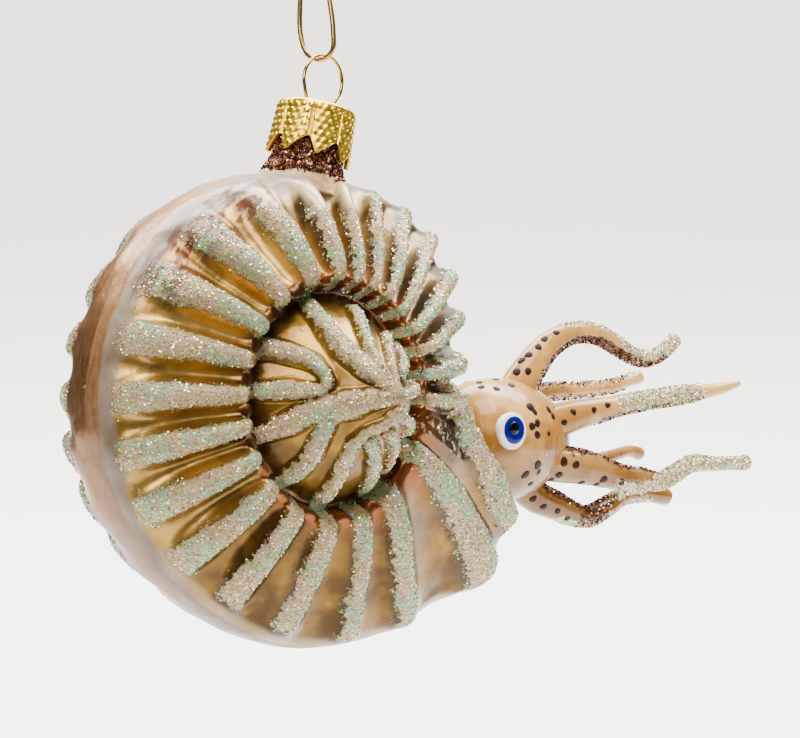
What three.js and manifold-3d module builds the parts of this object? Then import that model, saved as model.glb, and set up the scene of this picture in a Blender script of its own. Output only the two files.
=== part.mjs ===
// Hanging glass ornament: a coiled, ribbed ammonite shell with a cuttlefish head.
//
// The shell, its neck and the head are blown glass. Six pulled glass arms are fused to the head
// and two enamel eyes sit on it. A stamped metal cap covers the neck, a sprung wire ring is
// clipped through the cap, and a wire hook carries the ring.
//
// Millimetres, +Z up as it hangs. The origin is the inside top of the hook's bend. The coil lies
// in the XZ plane, the head points along +X, and the shell is mirrored about Y = 0.

import * as THREE from 'three';
import { mergeVertices } from 'three/addons/utils/BufferGeometryUtils.js';
import Module from 'manifold-3d';

const wasm = await Module();
wasm.setup();

// ---------------------------------------------------------------- driving sizes

const GAP = 0.3; // clearance between pieces that touch or are fused in the real object

// Coil: polar round COIL in the XZ plane, angles from +X towards +Z.
const COIL = { x: -11.5, z: -92.5 };
const SEAM_R = 16.5; // radius of the groove between the outer and the inner whorl
const BEAK_Y = 31.2; // half thickness at the beak
const LIP_ANGLE = -22; // where the outer whorl ends in the mouth's corner

// Radius of the outer whorl's keel against angle, once round from the mouth's corner.
const OUTLINE = [
  [-22, 51.0], [-18.5, 46.8], [-15, 44.0], [-11, 41.8], [-5, 39.6], [1, 36.8], [8, 36.6],
  [16, 37.6], [26, 39.0], [40, 39.7], [54, 38.4], [68, 36.4], [80, 34.8], [92, 34.0],
  [110, 33.4], [135, 33.2], [160, 34.0], [180, 34.8], [205, 34.6], [225, 33.8], [245, 34.2],
  [262, 36.0], [275, 38.0], [290, 40.4], [306, 43.8], [322, 48.4], [334, 51.8], [338, 51.0],
];

// Ribs of the outer whorl: [angle at the keel, angle at the seam].
const RIBS = [
  [-13, -14], [-2, 0], [8, 12], [17, 25], [26, 37], [36, 49], [46, 60], [57, 70], [69, 80],
  [83, 91], [103, 107], [127, 127], [148, 144], [166, 161], [181, 177], [196, 191], [212, 206],
  [231, 223], [251, 241], [270, 262], [289, 284], [307, 304], [322, 322], [334, 335],
];

// Folds of the inner whorl: [angle at the seam, angle at the inner end, inner end radius,
// half width].
const FOLDS = [
  [45, 92, 3.3, 1.5], [68, 104, 5.0, 1.5], [108, 124, 3.5, 2.3], [147, 146, 8.0, 2.2],
  [176, 166, 8.0, 2.0], [206, 172, 2.5, 2.5], [236, 203, 8.0, 2.2], [268, 230, 7.0, 2.0],
  [304, 258, 6.5, 1.8], [328, 268, 4.5, 1.6], [352, 300, 4.0, 1.6], [18, 40, 4.5, 1.6],
];
const RIB_HEIGHT = 1.7; // crest above the mean surface, and valley below it
const FOLD_HEIGHT = 1.5;

// Half section of the outer whorl from the keel to the seam and on to the beak, at a keel
// radius R, with w = R - SEAM_R: [radius, half thickness, share of the rib height]. The ribs
// run out over the rim, rim = 1, on the mouth's side and fade before it, rim < 1, opposite.
const section = (R, w, rim) => [
  [R, 0, 0], [R - 0.1, 2.6, 0.0], [R - 0.9, 5.0, 0.3 * rim], [R - 2.9, 7.8, rim],
  [SEAM_R + 0.58 * w, 12.0, 1.1], [SEAM_R + 0.27 * w, 16.0, 0.95], [SEAM_R + 1.9, 17.2, 0.7],
  [SEAM_R - 0.4, 14.2, 0.12], [SEAM_R - 2.4, 16.8, -1], [SEAM_R * 0.56, 23.4, -1],
  [SEAM_R * 0.26, 28.9, -1], [0, BEAK_Y, 0],
];

// Neck and cap share one axis, leaning towards the head.
const NECK_FOOT = { x: -2.9, z: -57.2 };
const NECK_LEAN = 15; // degrees
const NECK_BORE_R = 4.1;
const NECK_PROFILE = [[7.2, -3.2], [6.5, -0.8], [5.7, 0.7], [5.2, 1.8], [5.2, 8.9]]; // [r, height]
const CAP_TOP = 9.9; // height of the cap's top above the neck's foot
const CAP_R_TOP = 6.0;
const CAP_R_RIM = 6.4;
const CAP_SHEET = 0.4;
const CAP_PETALS = 8;
// One petal's lower edge: [share of its width, height of the edge, inward crease].
const PETAL = [[0, 4.0, 0.25], [0.1, 3.4, 0], [0.32, 1.3, 0], [0.66, 2.9, 0], [0.9, 3.8, 0]];
const LEG_HOLE_R = 0.6;

// Wire ring, in the cap's axes from the centre of its top: [across, along the axis].
const RING_WIRE_R = 0.28;
const RING_R = 3.95;
const RING_UP = 4.3;
const RING_LEG = [[3.4, -7.6], [2.85, -4], [2.5, -0.8], [2.45, 0.3]];

// Wire hook, in the YZ plane: [y, z] along its centre line from the free tip.
const HOOK_WIRE_R = 0.4;
const HOOK_BEND_R = 7;
const HOOK_TIP = [[-8.4, -13], [-7.6, -10]];
const HOOK_SHANK = [
  [6.8, -10], [5.2, -14.5], [3.2, -19], [2.9, -22.5], [3.7, -27], [4.4, -31], [4.35, -36],
  [2.9, -39.1], [-0.3, -40.35], [-3.0, -39], [-3.2, -36], [-2.3, -31], [-0.8, -25.5],
  [0.9, -20.6],
];

// Head: [x, half height, half thickness] along its length, round HEAD_Z.
const HEAD_Z = -99.2;
const HEAD = [
  [26.5, 0, 0], [27.6, 5.2, 5.0], [30.5, 8.3, 7.9], [34.5, 9.6, 8.9], [39, 9.8, 8.8],
  [43.2, 9.1, 7.9], [46.8, 7.6, 6.5], [49.8, 5.4, 4.7], [51.6, 3.0, 2.7], [52.3, 0, 0],
];

// Eyes: centre on the near flank, and the stepped drop of enamel: [r, height over the flank].
const EYE = { x: 33.1, y: -8.75, z: -97.7 };
const EYE_PROFILE = [[2.95, -1.6], [2.95, 0.1], [2.6, 0.42], [2.0, 0.55], [1.9, 0.8], [1.0, 1.0], [0.55, 1.5]];

// Arms, root to tip: [x, y, z, radius].
const ARMS = {
  arm_top: [
    [41, -0.4, -93, 3.2], [44, -1, -88.3, 2.7], [48.2, -1.5, -84.1, 2.15], [53, -2, -82.1, 1.75],
    [58, -2, -82.1, 1.6], [62.7, -2, -83.7, 1.5], [67.9, -1.5, -85.8, 1.35],
    [72.2, -1, -86.1, 1.25], [75.7, -1, -84.9, 1.1], [77.9, -1, -83.3, 1.15],
  ],
  arm_upper_far: [
    [44, 2.6, -93.4, 2.0], [52.5, 4, -91.8, 1.5], [63.3, 5.5, -91.3, 1.25], [71.9, 7, -90.7, 1.1],
    [76.2, 7.5, -89.8, 1.05], [78.6, 8, -89.4, 1.2],
  ],
  arm_upper_near: [
    [41, -2.6, -97.8, 3.2], [47.3, -4, -96.3, 2.85], [52.7, -5, -95, 2.35], [59.3, -6, -93.9, 1.7],
    [66.4, -6.5, -92.9, 1.5], [73.7, -7, -92.1, 1.5], [81.3, -7.5, -91.3, 1.05],
    [85.9, -8, -90.4, 0.65],
  ],
  arm_lower_near: [
    [41, -2.8, -102.2, 3.2], [47.3, -4, -103.1, 3.0], [52.7, -5, -103.8, 2.75],
    [59.3, -6, -105.3, 2.1], [64.6, -6.5, -105.8, 1.7], [68.3, -7, -106.2, 1.5],
    [71.8, -7, -105.1, 1.45], [75.9, -7, -103.5, 1.35], [81.9, -7, -103.6, 1.1],
    [85.7, -7, -103.5, 1.0], [88.7, -7, -103.5, 1.2],
  ],
  arm_lower_far: [
    [44, 2.8, -101.4, 2.2], [52, 3.8, -102.8, 2.05], [57.6, 4.2, -103.1, 1.85],
    [62.8, 5, -103.4, 1.4], [69.7, 6.5, -102.6, 1.1], [76.7, 8, -101.6, 1.0],
    [79.4, 8.5, -102, 1.15],
  ],
  arm_bottom: [
    [41.5, 0.6, -104.5, 2.8], [47.4, 0.8, -108.5, 2.55], [52, 0.8, -110.1, 2.3],
    [55.9, 0.6, -111.5, 1.85], [60.2, 1.2, -111.9, 1.7], [65.1, 2, -110.6, 1.6],
    [69.7, 3, -109, 1.5], [76.4, 4, -108.6, 1.4], [81.8, 4.8, -109.2, 1.5],
  ],
};

// ---------------------------------------------------------------- small maths

const TAU = Math.PI * 2;
const rad = (deg) => (deg * Math.PI) / 180;
const lerp = (a, b, t) => a + (b - a) * t;

// Smooth curve through keys [x, y] with unequal spacing.
function smoothKeys(keys, x) {
  const last = keys.length - 1;
  let i = 0;
  while (i < last - 1 && x >= keys[i + 1][0]) i += 1;
  const slope = (k) => {
    const a = keys[Math.max(k - 1, 0)];
    const b = keys[Math.min(k + 1, last)];
    return (b[1] - a[1]) / (b[0] - a[0]);
  };
  const [x0, y0] = keys[i];
  const [x1, y1] = keys[i + 1];
  const h = x1 - x0;
  const t = Math.min(Math.max((x - x0) / h, 0), 1);
  return (2 * t ** 3 - 3 * t ** 2 + 1) * y0 + (t ** 3 - 2 * t ** 2 + t) * h * slope(i)
    + (3 * t ** 2 - 2 * t ** 3) * y1 + (t ** 3 - t ** 2) * h * slope(i + 1);
}

const keelRadius = (deg) => {
  const turned = ((((deg - LIP_ANGLE) % 360) + 360) % 360) + LIP_ANGLE;
  return smoothKeys(OUTLINE, turned);
};

// ---------------------------------------------------------------- mesh helpers

// Closed body from a start point, rings of equal count and an end point.
function loft(start, rings, end) {
  const n = rings[0].length;
  const points = [start, ...rings.flat(), end];
  const faces = [];
  for (let i = 0; i < n; i += 1) {
    const j = (i + 1) % n;
    faces.push(0, 1 + j, 1 + i);
    for (let k = 0; k < rings.length - 1; k += 1) {
      const a = 1 + k * n;
      const b = a + n;
      faces.push(a + i, a + j, b + j, a + i, b + j, b + i);
    }
    const last = 1 + (rings.length - 1) * n;
    faces.push(last + i, last + j, points.length - 1);
  }
  const geometry = new THREE.BufferGeometry();
  geometry.setAttribute('position', new THREE.Float32BufferAttribute(points.flat(), 3));
  geometry.setIndex(faces);
  if (signedVolume(geometry) < 0) {
    for (let i = 0; i < faces.length; i += 3) {
      [faces[i + 1], faces[i + 2]] = [faces[i + 2], faces[i + 1]];
    }
    geometry.setIndex(faces);
  }
  return geometry;
}

function signedVolume(geometry) {
  const p = geometry.attributes.position;
  const index = geometry.index.array;
  const [a, b, c] = [new THREE.Vector3(), new THREE.Vector3(), new THREE.Vector3()];
  let sum = 0;
  for (let i = 0; i < index.length; i += 3) {
    a.fromBufferAttribute(p, index[i]);
    b.fromBufferAttribute(p, index[i + 1]);
    c.fromBufferAttribute(p, index[i + 2]);
    sum += a.dot(b.cross(c));
  }
  return sum / 6;
}

// Body swept along a curve, with a radius for each share of its length and rounded ends.
function sweep(curve, radiusAt, steps, sides) {
  const frames = curve.computeFrenetFrames(steps, false);
  const rings = [];
  for (let k = 0; k <= steps; k += 1) {
    const centre = curve.getPointAt(k / steps);
    const r = radiusAt(k / steps);
    rings.push(Array.from({ length: sides }, (_, i) => {
      const a = (TAU * i) / sides;
      return centre.clone()
        .addScaledVector(frames.normals[k], r * Math.cos(a))
        .addScaledVector(frames.binormals[k], r * Math.sin(a))
        .toArray();
    }));
  }
  const tip = (k, sign) => curve.getPointAt(k / steps)
    .addScaledVector(frames.tangents[k], sign * 0.6 * radiusAt(k / steps)).toArray();
  return loft(tip(0, -1), rings, tip(steps, 1));
}

const throughPoints = (points) => new THREE.CatmullRomCurve3(points, false, 'centripetal');

function toSolid(geometry) {
  const bare = new THREE.BufferGeometry();
  bare.setAttribute('position', geometry.attributes.position.clone());
  bare.setIndex(geometry.index);
  const merged = mergeVertices(bare, 1e-3);
  return new wasm.Manifold(new wasm.Mesh({
    numProp: 3,
    vertProperties: merged.attributes.position.array,
    triVerts: Uint32Array.from(merged.index.array),
  }));
}

function fromSolid(solid) {
  const mesh = solid.getMesh();
  const geometry = new THREE.BufferGeometry();
  geometry.setAttribute('position', new THREE.Float32BufferAttribute(mesh.vertProperties, 3));
  geometry.setIndex(Array.from(mesh.triVerts));
  return geometry;
}

const ornament = new THREE.Group();
ornament.name = 'ammonite_ornament';

function addMesh(name, geometry, colour, roughness, metalness) {
  const material = new THREE.MeshStandardMaterial({ color: colour, roughness, metalness });
  geometry.computeVertexNormals();
  const mesh = new THREE.Mesh(geometry, material);
  mesh.name = name;
  ornament.add(mesh);
  return mesh;
}

// ---------------------------------------------------------------- shell

// Height of the inner whorl's folds, 0 to 1.
function foldHeight(r, deg) {
  let top = 0;
  for (const [atSeam, atEnd, endR, width] of FOLDS) {
    const t = Math.min(Math.max((r - endR) / (SEAM_R - endR), 0), 1.1);
    const centre = lerp(atEnd, atSeam, t);
    const turn = ((((deg - centre) % 360) + 540) % 360) - 180;
    const across = r * rad(turn);
    const along = Math.max(endR - r, 0);
    top = Math.max(top, Math.exp(-((across ** 2 + along ** 2) / width ** 2)));
  }
  return top;
}

// Crest +1, valley -1, with broad crests and narrow valleys; q counts ribs.
const ribWave = (q) => 1 - 2 * ((1 - Math.cos(TAU * q)) / 2) ** 1.35;

const rimShare = (deg) => 0.74 + 0.3 * Math.cos(rad(deg + 10));

// Angle of the line that keeps the rib count q, at a share s of the way from keel to seam.
function ribAngle(q, s) {
  const count = RIBS.length;
  const i = Math.floor(q);
  const at = (k) => {
    const wrap = Math.floor(k / count);
    const [keel, seam] = RIBS[k - wrap * count];
    return lerp(keel, seam, s) + 360 * wrap;
  };
  return lerp(at(i), at(i + 1), q - i);
}

function shellPoint(row, q, grow) {
  const seamRow = 7;
  const s = Math.min(row / seamRow, 1);
  const deg = ribAngle(q, s);
  const R = keelRadius(deg);
  const rows = section(R, R - SEAM_R, rimShare(deg));
  const [r0, y0, share] = rows[row];
  const before = rows[Math.max(row - 1, 0)];
  const after = rows[Math.min(row + 1, rows.length - 1)];
  let nr = after[1] - before[1];
  let ny = before[0] - after[0];
  if (row === 0) [nr, ny] = [1, 0];
  if (row === rows.length - 1) [nr, ny] = [0, 1];
  const size = Math.hypot(nr, ny);
  const lift = share < 0 ? FOLD_HEIGHT * (foldHeight(r0, deg) - 0.4) : RIB_HEIGHT * share * ribWave(q);
  const r = r0 + (nr / size) * (lift + grow);
  const y = y0 + (ny / size) * (lift + grow);
  return [COIL.x + r * Math.cos(rad(deg)), y, COIL.z + r * Math.sin(rad(deg))];
}

// Outer surface of the shell: 4 columns to a rib, mirrored about the coil's middle plane.
function shellOuter(grow = 0) {
  const columns = RIBS.length * 4;
  const rowCount = section(40, 20, 1).length;
  const half = [];
  for (let row = 0; row < rowCount - 1; row += 1) {
    half.push(Array.from({ length: columns }, (_, k) => shellPoint(row, k / 4, grow)));
  }
  const mirror = (ring) => ring.map(([x, y, z]) => [x, -y, z]);
  const rings = [...half.slice(1).reverse(), ...half.map(mirror)];
  const beak = BEAK_Y + grow;
  return loft([COIL.x, beak, COIL.z], rings, [COIL.x, -beak, COIL.z]);
}

// Smooth hollow inside the ribbed wall.
function shellHollow() {
  const half = [[-3.0, 0], [-3.9, 4.5], [-6.6, 8.2], [-13, 11.6], [-19, 12.2]];
  const inner = [[13.5, 12.6], [8, 18.8], [3.5, 24.5]];
  const columns = 32;
  const ring = (radius, y) => Array.from({ length: columns }, (_, k) => {
    const deg = LIP_ANGLE + (360 * k) / columns;
    const r = radius(keelRadius(deg));
    return [COIL.x + r * Math.cos(rad(deg)), y, COIL.z + r * Math.sin(rad(deg))];
  });
  const rings = [
    ...half.map(([dr, y]) => ring((R) => Math.max(R + dr * ((R - SEAM_R) / 20) ** 0.5, SEAM_R - 1), y)),
    ...inner.map(([r, y]) => ring(() => r, y)),
  ];
  const mirror = rings.slice(1).map((points) => points.map(([x, y, z]) => [x, -y, z]));
  return loft([COIL.x, 27.2, COIL.z], [...rings.reverse(), ...mirror], [COIL.x, -27.2, COIL.z]);
}

// Solid of revolution round the neck's axis: profile [radius, height] from bottom to top.
const neckAxis = new THREE.Matrix4()
  .makeRotationY(rad(NECK_LEAN)).setPosition(NECK_FOOT.x, 0, NECK_FOOT.z);

function onNeck(profile, sides) {
  const rings = profile.map(([r, h]) => Array.from({ length: sides }, (_, i) => {
    const a = (TAU * i) / sides;
    return [r * Math.cos(a), r * Math.sin(a), h];
  }));
  const ends = [profile[0][1], profile[profile.length - 1][1]];
  return loft([0, 0, ends[0]], rings, [0, 0, ends[1]]).applyMatrix4(neckAxis);
}

const outer = toSolid(shellOuter());
const neck = toSolid(onNeck(NECK_PROFILE, 24));
const bore = toSolid(onNeck([[NECK_BORE_R, -12], [NECK_BORE_R, 12]], 24));
const glass = outer.add(neck).subtract(toSolid(shellHollow()).add(bore));
addMesh('glass_shell', fromSolid(glass), '#c9b48c', 0.28, 0.25);

// ---------------------------------------------------------------- head, eyes and arms

function headBody(grow) {
  const sides = 20;
  const rings = HEAD.slice(1, -1).map(([x, h, b]) => Array.from({ length: sides }, (_, i) => {
    const a = (TAU * i) / sides;
    return [x, (b + grow) * Math.cos(a), HEAD_Z + (h + grow) * Math.sin(a)];
  }));
  return loft([HEAD[0][0] - grow, 0, HEAD_Z], rings, [HEAD[HEAD.length - 1][0] + grow, 0, HEAD_Z]);
}

const shellSpace = toSolid(shellOuter(GAP));
const headSpace = toSolid(headBody(GAP));
addMesh('head', fromSolid(toSolid(headBody(0)).subtract(shellSpace)), '#d9b07c', 0.32, 0);

for (const [name, keys] of Object.entries(ARMS)) {
  const curve = throughPoints(keys.map(([x, y, z]) => new THREE.Vector3(x, y, z)));
  const radii = keys.map(([, , , r], i) => [curve.getUtoTmapping(0, 0) + i / (keys.length - 1), r]);
  const steps = keys.length + 5;
  const radiusAt = (u) => smoothKeys(radii, curve.getUtoTmapping(u));
  const arm = toSolid(sweep(curve, radiusAt, steps, 8)).subtract(headSpace);
  addMesh(name, fromSolid(arm), '#d2a878', 0.35, 0);
}

function eyeDrop(side) {
  const sides = 16;
  const rings = EYE_PROFILE.map(([r, h]) => Array.from({ length: sides }, (_, i) => {
    const a = (TAU * i) / sides;
    return [EYE.x + r * Math.cos(a), side * (EYE.y - h), EYE.z + r * Math.sin(a)];
  }));
  const at = (h) => [EYE.x, side * (EYE.y - h), EYE.z];
  const top = EYE_PROFILE[EYE_PROFILE.length - 1][1];
  return toSolid(loft(at(EYE_PROFILE[0][1]), rings, at(top + 0.15))).subtract(headSpace);
}
addMesh('eye_near', fromSolid(eyeDrop(1)), '#f4f2ee', 0.12, 0);
addMesh('eye_far', fromSolid(eyeDrop(-1)), '#f4f2ee', 0.12, 0);

// ---------------------------------------------------------------- cap, ring and hook

function capBody() {
  const columns = [];
  for (let p = 0; p < CAP_PETALS; p += 1) {
    for (const [share, edge, crease] of PETAL) {
      columns.push({ a: (TAU * (p + share)) / CAP_PETALS, edge, crease });
    }
  }
  const radiusAt = (h) => lerp(CAP_R_RIM, CAP_R_TOP, Math.min(h / CAP_TOP, 1));
  const ring = (radius, height) => columns.map((c) => {
    const r = radius(c);
    return [r * Math.cos(c.a), r * Math.sin(c.a), height(c)];
  });
  const rings = [
    ring(() => CAP_R_TOP - 0.45, () => CAP_TOP),
    ring((c) => CAP_R_TOP - 0.05 - c.crease * 0.4, () => CAP_TOP - 0.45),
    ring((c) => radiusAt(5.5) - c.crease, () => 5.5),
    ring((c) => radiusAt(c.edge) - c.crease, (c) => c.edge),
    ring((c) => radiusAt(c.edge) - CAP_SHEET - c.crease * 0.4, (c) => c.edge),
    ring(() => CAP_R_TOP - 0.4, () => CAP_TOP - 0.75),
    ring(() => CAP_R_TOP - 0.9, () => CAP_TOP - CAP_SHEET),
  ];
  const body = loft([0, 0, CAP_TOP], rings, [0, 0, CAP_TOP - CAP_SHEET]);
  return toSolid(body.applyMatrix4(neckAxis));
}

const legHole = (side) => {
  const hole = new THREE.CylinderGeometry(LEG_HOLE_R, LEG_HOLE_R, 3, 8).rotateX(Math.PI / 2);
  return toSolid(hole.translate(side * 2.46, 0, CAP_TOP).applyMatrix4(neckAxis));
};
const cap = capBody().subtract(legHole(1)).subtract(legHole(-1));
addMesh('cap', fromSolid(cap), '#e8c23a', 0.25, 1);

function ringPath() {
  const flat = RING_LEG.map(([s, h]) => [-s, h]);
  for (let deg = 215; deg >= -35; deg -= 25) {
    flat.push([RING_R * Math.cos(rad(deg)), RING_UP + RING_R * Math.sin(rad(deg))]);
  }
  flat.push(...RING_LEG.slice().reverse());
  const points = flat.map(([s, h]) => new THREE.Vector3(s, 0, CAP_TOP + h).applyMatrix4(neckAxis));
  return throughPoints(points);
}
addMesh('ring', sweep(ringPath(), () => RING_WIRE_R, 52, 6), '#d8b85a', 0.2, 1);

function hookPath() {
  const flat = [...HOOK_TIP];
  for (let deg = 180; deg >= 0; deg -= 30) {
    const a = rad(deg);
    flat.push([HOOK_BEND_R * Math.cos(a), HOOK_WIRE_R - HOOK_BEND_R + HOOK_BEND_R * Math.sin(a)]);
  }
  flat.push(...HOOK_SHANK);
  return throughPoints(flat.map(([y, z]) => new THREE.Vector3(0, y, z)));
}
addMesh('hook', sweep(hookPath(), () => HOOK_WIRE_R, 66, 6), '#b89a5a', 0.25, 1);

export default ornament;
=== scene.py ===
"""Hanging glass ornament: a silvered ammonite shell with a cuttlefish head and glass arms.

Each piece has its own operator, and the stage has one. Sizes and colours that are worth changing
are properties of the scene. Lengths inside the functions are millimetres, in the model's frame:
+Z up as it hangs, the coil in the XZ plane, the head towards +X, the origin in the hook's bend.
"""

import math

import bpy
import numpy as np
from bpy.props import FloatProperty, FloatVectorProperty, IntProperty, PointerProperty
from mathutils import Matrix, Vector


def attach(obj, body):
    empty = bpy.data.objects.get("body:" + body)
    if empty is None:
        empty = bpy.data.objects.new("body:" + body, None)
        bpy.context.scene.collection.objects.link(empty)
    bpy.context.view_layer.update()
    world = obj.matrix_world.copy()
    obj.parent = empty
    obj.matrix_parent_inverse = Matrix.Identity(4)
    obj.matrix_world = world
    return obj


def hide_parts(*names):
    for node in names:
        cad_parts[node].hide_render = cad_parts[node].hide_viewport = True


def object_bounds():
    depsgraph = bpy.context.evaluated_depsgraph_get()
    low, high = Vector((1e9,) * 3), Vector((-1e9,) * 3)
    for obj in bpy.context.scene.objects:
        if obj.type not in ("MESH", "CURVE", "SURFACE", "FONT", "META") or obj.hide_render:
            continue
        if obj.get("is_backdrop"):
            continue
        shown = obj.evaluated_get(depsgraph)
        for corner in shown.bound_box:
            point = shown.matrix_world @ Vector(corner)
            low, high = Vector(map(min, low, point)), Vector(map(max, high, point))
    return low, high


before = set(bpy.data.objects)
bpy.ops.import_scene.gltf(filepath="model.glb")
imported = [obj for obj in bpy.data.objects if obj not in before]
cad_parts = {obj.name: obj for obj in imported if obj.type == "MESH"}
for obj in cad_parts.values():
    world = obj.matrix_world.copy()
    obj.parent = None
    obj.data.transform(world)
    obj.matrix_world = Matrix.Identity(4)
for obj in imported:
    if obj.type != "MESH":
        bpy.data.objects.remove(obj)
CAD_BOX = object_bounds()

bl_info = {
    "name": "Glass Ammonite Ornament",
    "version": (1, 0, 0),
    "blender": (4, 5, 0),
    "location": "3D View > Sidebar > Ornament",
    "description": "Builds a hanging blown-glass ammonite ornament piece by piece",
    "category": "Add Mesh",
}

MM = 0.001
TAU = math.tau

# ------------------------------------------------------------------ shapes, in millimetres

COIL = np.array([-11.5, 0.0, -92.5])
SEAM_R = 16.5
BEAK_Y = 31.2
LIP_ANGLE = -22.0

# Keel radius of the outer whorl against the angle round the coil.
OUTLINE = [
    (-22, 50.6), (-19.5, 51.0), (-17.6, 49.0), (-15.4, 45.4), (-12, 42.6), (-5, 39.6),
    (1, 36.8), (8, 36.6),
    (16, 37.6), (26, 39.0), (40, 39.7), (54, 38.4), (68, 36.4), (80, 35.0), (92, 34.4),
    (110, 34.1), (135, 34.0), (160, 34.4), (180, 34.9), (205, 34.6), (225, 33.8), (245, 34.2),
    (262, 36.0), (275, 38.0), (290, 40.4), (306, 43.8), (315, 45.8), (321, 48.4),
    (327, 51.0), (333, 51.6), (338, 50.8),
]

# Ribs of the outer whorl: angle at the keel, angle at the seam, share of the full height.
RIBS = np.array([
    (-13, -12, 0), (-2, 0, 0.9), (8, 12, 1), (17, 25, 0.9), (26, 37, 1.05), (36, 49, 0.95),
    (46, 60, 1), (57, 70, 0.85), (69, 80, 0.95), (83, 91, 1.05), (103, 107, 1.15), (127, 127, 1.2),
    (148, 144, 1.05), (166, 161, 1.1), (181, 177, 0.95), (196, 191, 1.1), (212, 206, 1),
    (231, 223, 1.1), (251, 241, 0.95), (270, 262, 1.05), (289, 284, 1), (304, 303, 1), (315, 338, 1),
], float)

# Ridges along the mouth's lip, as lines of places from the coil's centre: x, z, half width.
LIPS = [
    [(23.4, 5.4, 1.3), (25, 2.4, 1.9), (27.4, -0.8, 2.2), (29.4, -4.4, 2.4), (32.3, -8, 2.4),
     (36.6, -11.8, 2.4), (39.8, -15.2, 2.3), (43.2, -17.9, 2.1), (49, -20.6, 1.6)],
    [(30.4, -2.6, 1.6), (33.4, -6.6, 2), (37, -10.2, 2), (40.6, -12.8, 1.4)],
]

# Folds of the inner whorl, each a line of places from the coil's centre: x, z, half width.
FOLDS = [
    [(-4.4, 15, 1.2), (-4.9, 9.6, 1.5), (-4.5, 7, 1.8), (-3.5, 4.6, 1.6), (-2.3, 2.5, 1.1),
     (-1, 1.2, 0.8)],
    [(3, 13, 1.2), (0.3, 10, 0.9), (-1.3, 7.4, 0.75), (-1.8, 5, 0.75), (-1.3, 3, 0.6)],
    [(6, 9.5, 0.6), (2.1, 6.8, 0.6), (0, 4.6, 0.6), (-0.2, 2.7, 0.6)],
    [(-0.5, 2.1, 0.8), (0.5, 0.6, 0.9), (0.4, -1.5, 0.9), (-1, -2.7, 0.9)],
    [(-16.2, 7, 1.1), (-13, 7.8, 1.4), (-11, 7.2, 1.5), (-9.4, 6.2, 1.3), (-8.7, 4.9, 0.9),
     (-8.3, 3.5, 0.6), (-8.6, 2, 0.6), (-9.4, 1.2, 0.7)],
    [(-16, 1.2, 0.8), (-14.2, 1.3, 1.3), (-11.8, 1.5, 1.5), (-9.8, 1.5, 1)],
    [(-1.7, 0.3, 1), (-4.5, 0, 1.6), (-6.4, -0.7, 2), (-8.2, -1.4, 2), (-10.2, -2, 1.6),
     (-12, -3.8, 1.6), (-13.8, -5.2, 1.2), (-16.2, -6.2, 0.8)],
    [(-8.3, -3.4, 1), (-8.3, -5.9, 1), (-8.1, -8.9, 1.2), (-8.5, -11.1, 1.4), (-9.8, -12.6, 1.1)],
    [(-1.6, -3.5, 0.75), (-3.7, -4.7, 0.75), (-4.4, -6.2, 0.9), (-3.9, -8.6, 1), (-2.9, -11, 1.2),
     (-2.1, -13.3, 1.35), (-1.2, -18, 1.2)],
    [(-2.7, -5.9, 0.6), (0.3, -8.3, 0.9), (4.2, -10.9, 1.2), (9, -15, 1.4)],
    [(-0.5, -4.7, 0.7), (4.6, -7.1, 0.9), (9, -9.5, 1), (12, -11, 1)],
    [(0.5, -2.5, 0.7), (6, -3.8, 0.9), (11, -4.6, 1), (14.5, -5, 1)],
    [(1.5, 0.8, 0.7), (6, 1.4, 0.9), (11, 1.8, 1.1), (15, 2, 1)],
    [(2, 4, 0.6), (6, 5.6, 0.8), (10, 7, 1), (13.5, 8, 1)],
]

NECK_FOOT = np.array([-2.9, 0.0, -57.2])
NECK_LEAN = math.radians(15)
NECK_PROFILE = [
    (8.2, -4.6), (7.5, -3.4), (6.9, -2.3), (6.4, -1.2), (5.9, 0), (5.4, 1.2), (5.2, 2.4), (5.2, 8.9),
]
CAP_TOP = 9.9
CAP_R_TOP = 6.0
CAP_R_RIM = 6.4
CAP_SHEET = 0.4
CAP_PETALS = 8
PETAL_EDGE = [(0, 4.0), (0.1, 3.4), (0.32, 1.3), (0.66, 2.9), (0.9, 3.8), (1, 4.0)]

RING_R = 3.95
RING_UP = 4.3
RING_LEG = [(3.4, -7.6), (2.85, -4), (2.5, -0.8), (2.45, 0.3)]

HOOK_BEND_R = 7.0
HOOK_TIP = [(-8.4, -13), (-7.6, -10)]
HOOK_SHANK = [
    (6.8, -10), (5.2, -14.5), (3.2, -19), (2.9, -22.5), (3.7, -27), (4.4, -31), (4.35, -36),
    (2.9, -39.1), (-0.3, -40.35), (-3.0, -39), (-3.2, -36), (-2.3, -31), (-0.8, -25.5),
    (0.9, -20.6),
]

# Head: x, half height, half thickness, round HEAD_Z.
HEAD_Z = -99.2
HEAD = np.array([
    (26.5, 0, 0), (27.6, 5.2, 5.0), (30.5, 8.3, 7.9), (34.5, 9.6, 8.9), (39, 9.8, 8.8),
    (43.2, 9.1, 7.9), (46.8, 7.6, 6.5), (49.8, 5.4, 4.7), (51.6, 3.0, 2.7), (52.3, 0, 0),
])
# Painted dots on the head: x, angle from the flank towards the crown, radius.
HEAD_DOTS = [
    (32.8, 80, 0.55), (31.9, 70, 0.5), (36.1, 78, 0.55), (33.8, 60, 0.55), (37.3, 62, 0.6),
    (38.3, 32, 0.75), (38.9, 27, 0.5), (38.9, 16, 0.6), (37.5, 13, 0.65), (38.5, 5, 0.6),
    (43.2, 32, 0.6), (43.9, 25, 0.55), (41.6, 6, 0.4), (39.5, -24, 0.75), (40.4, -32, 0.45),
    (37.3, -34, 0.7), (39.8, -46, 0.5),
]
HEAD_AMBER_DOTS = [(41.4, -12, 0.45)]

EYE = np.array([33.1, -8.75, -97.7])
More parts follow.
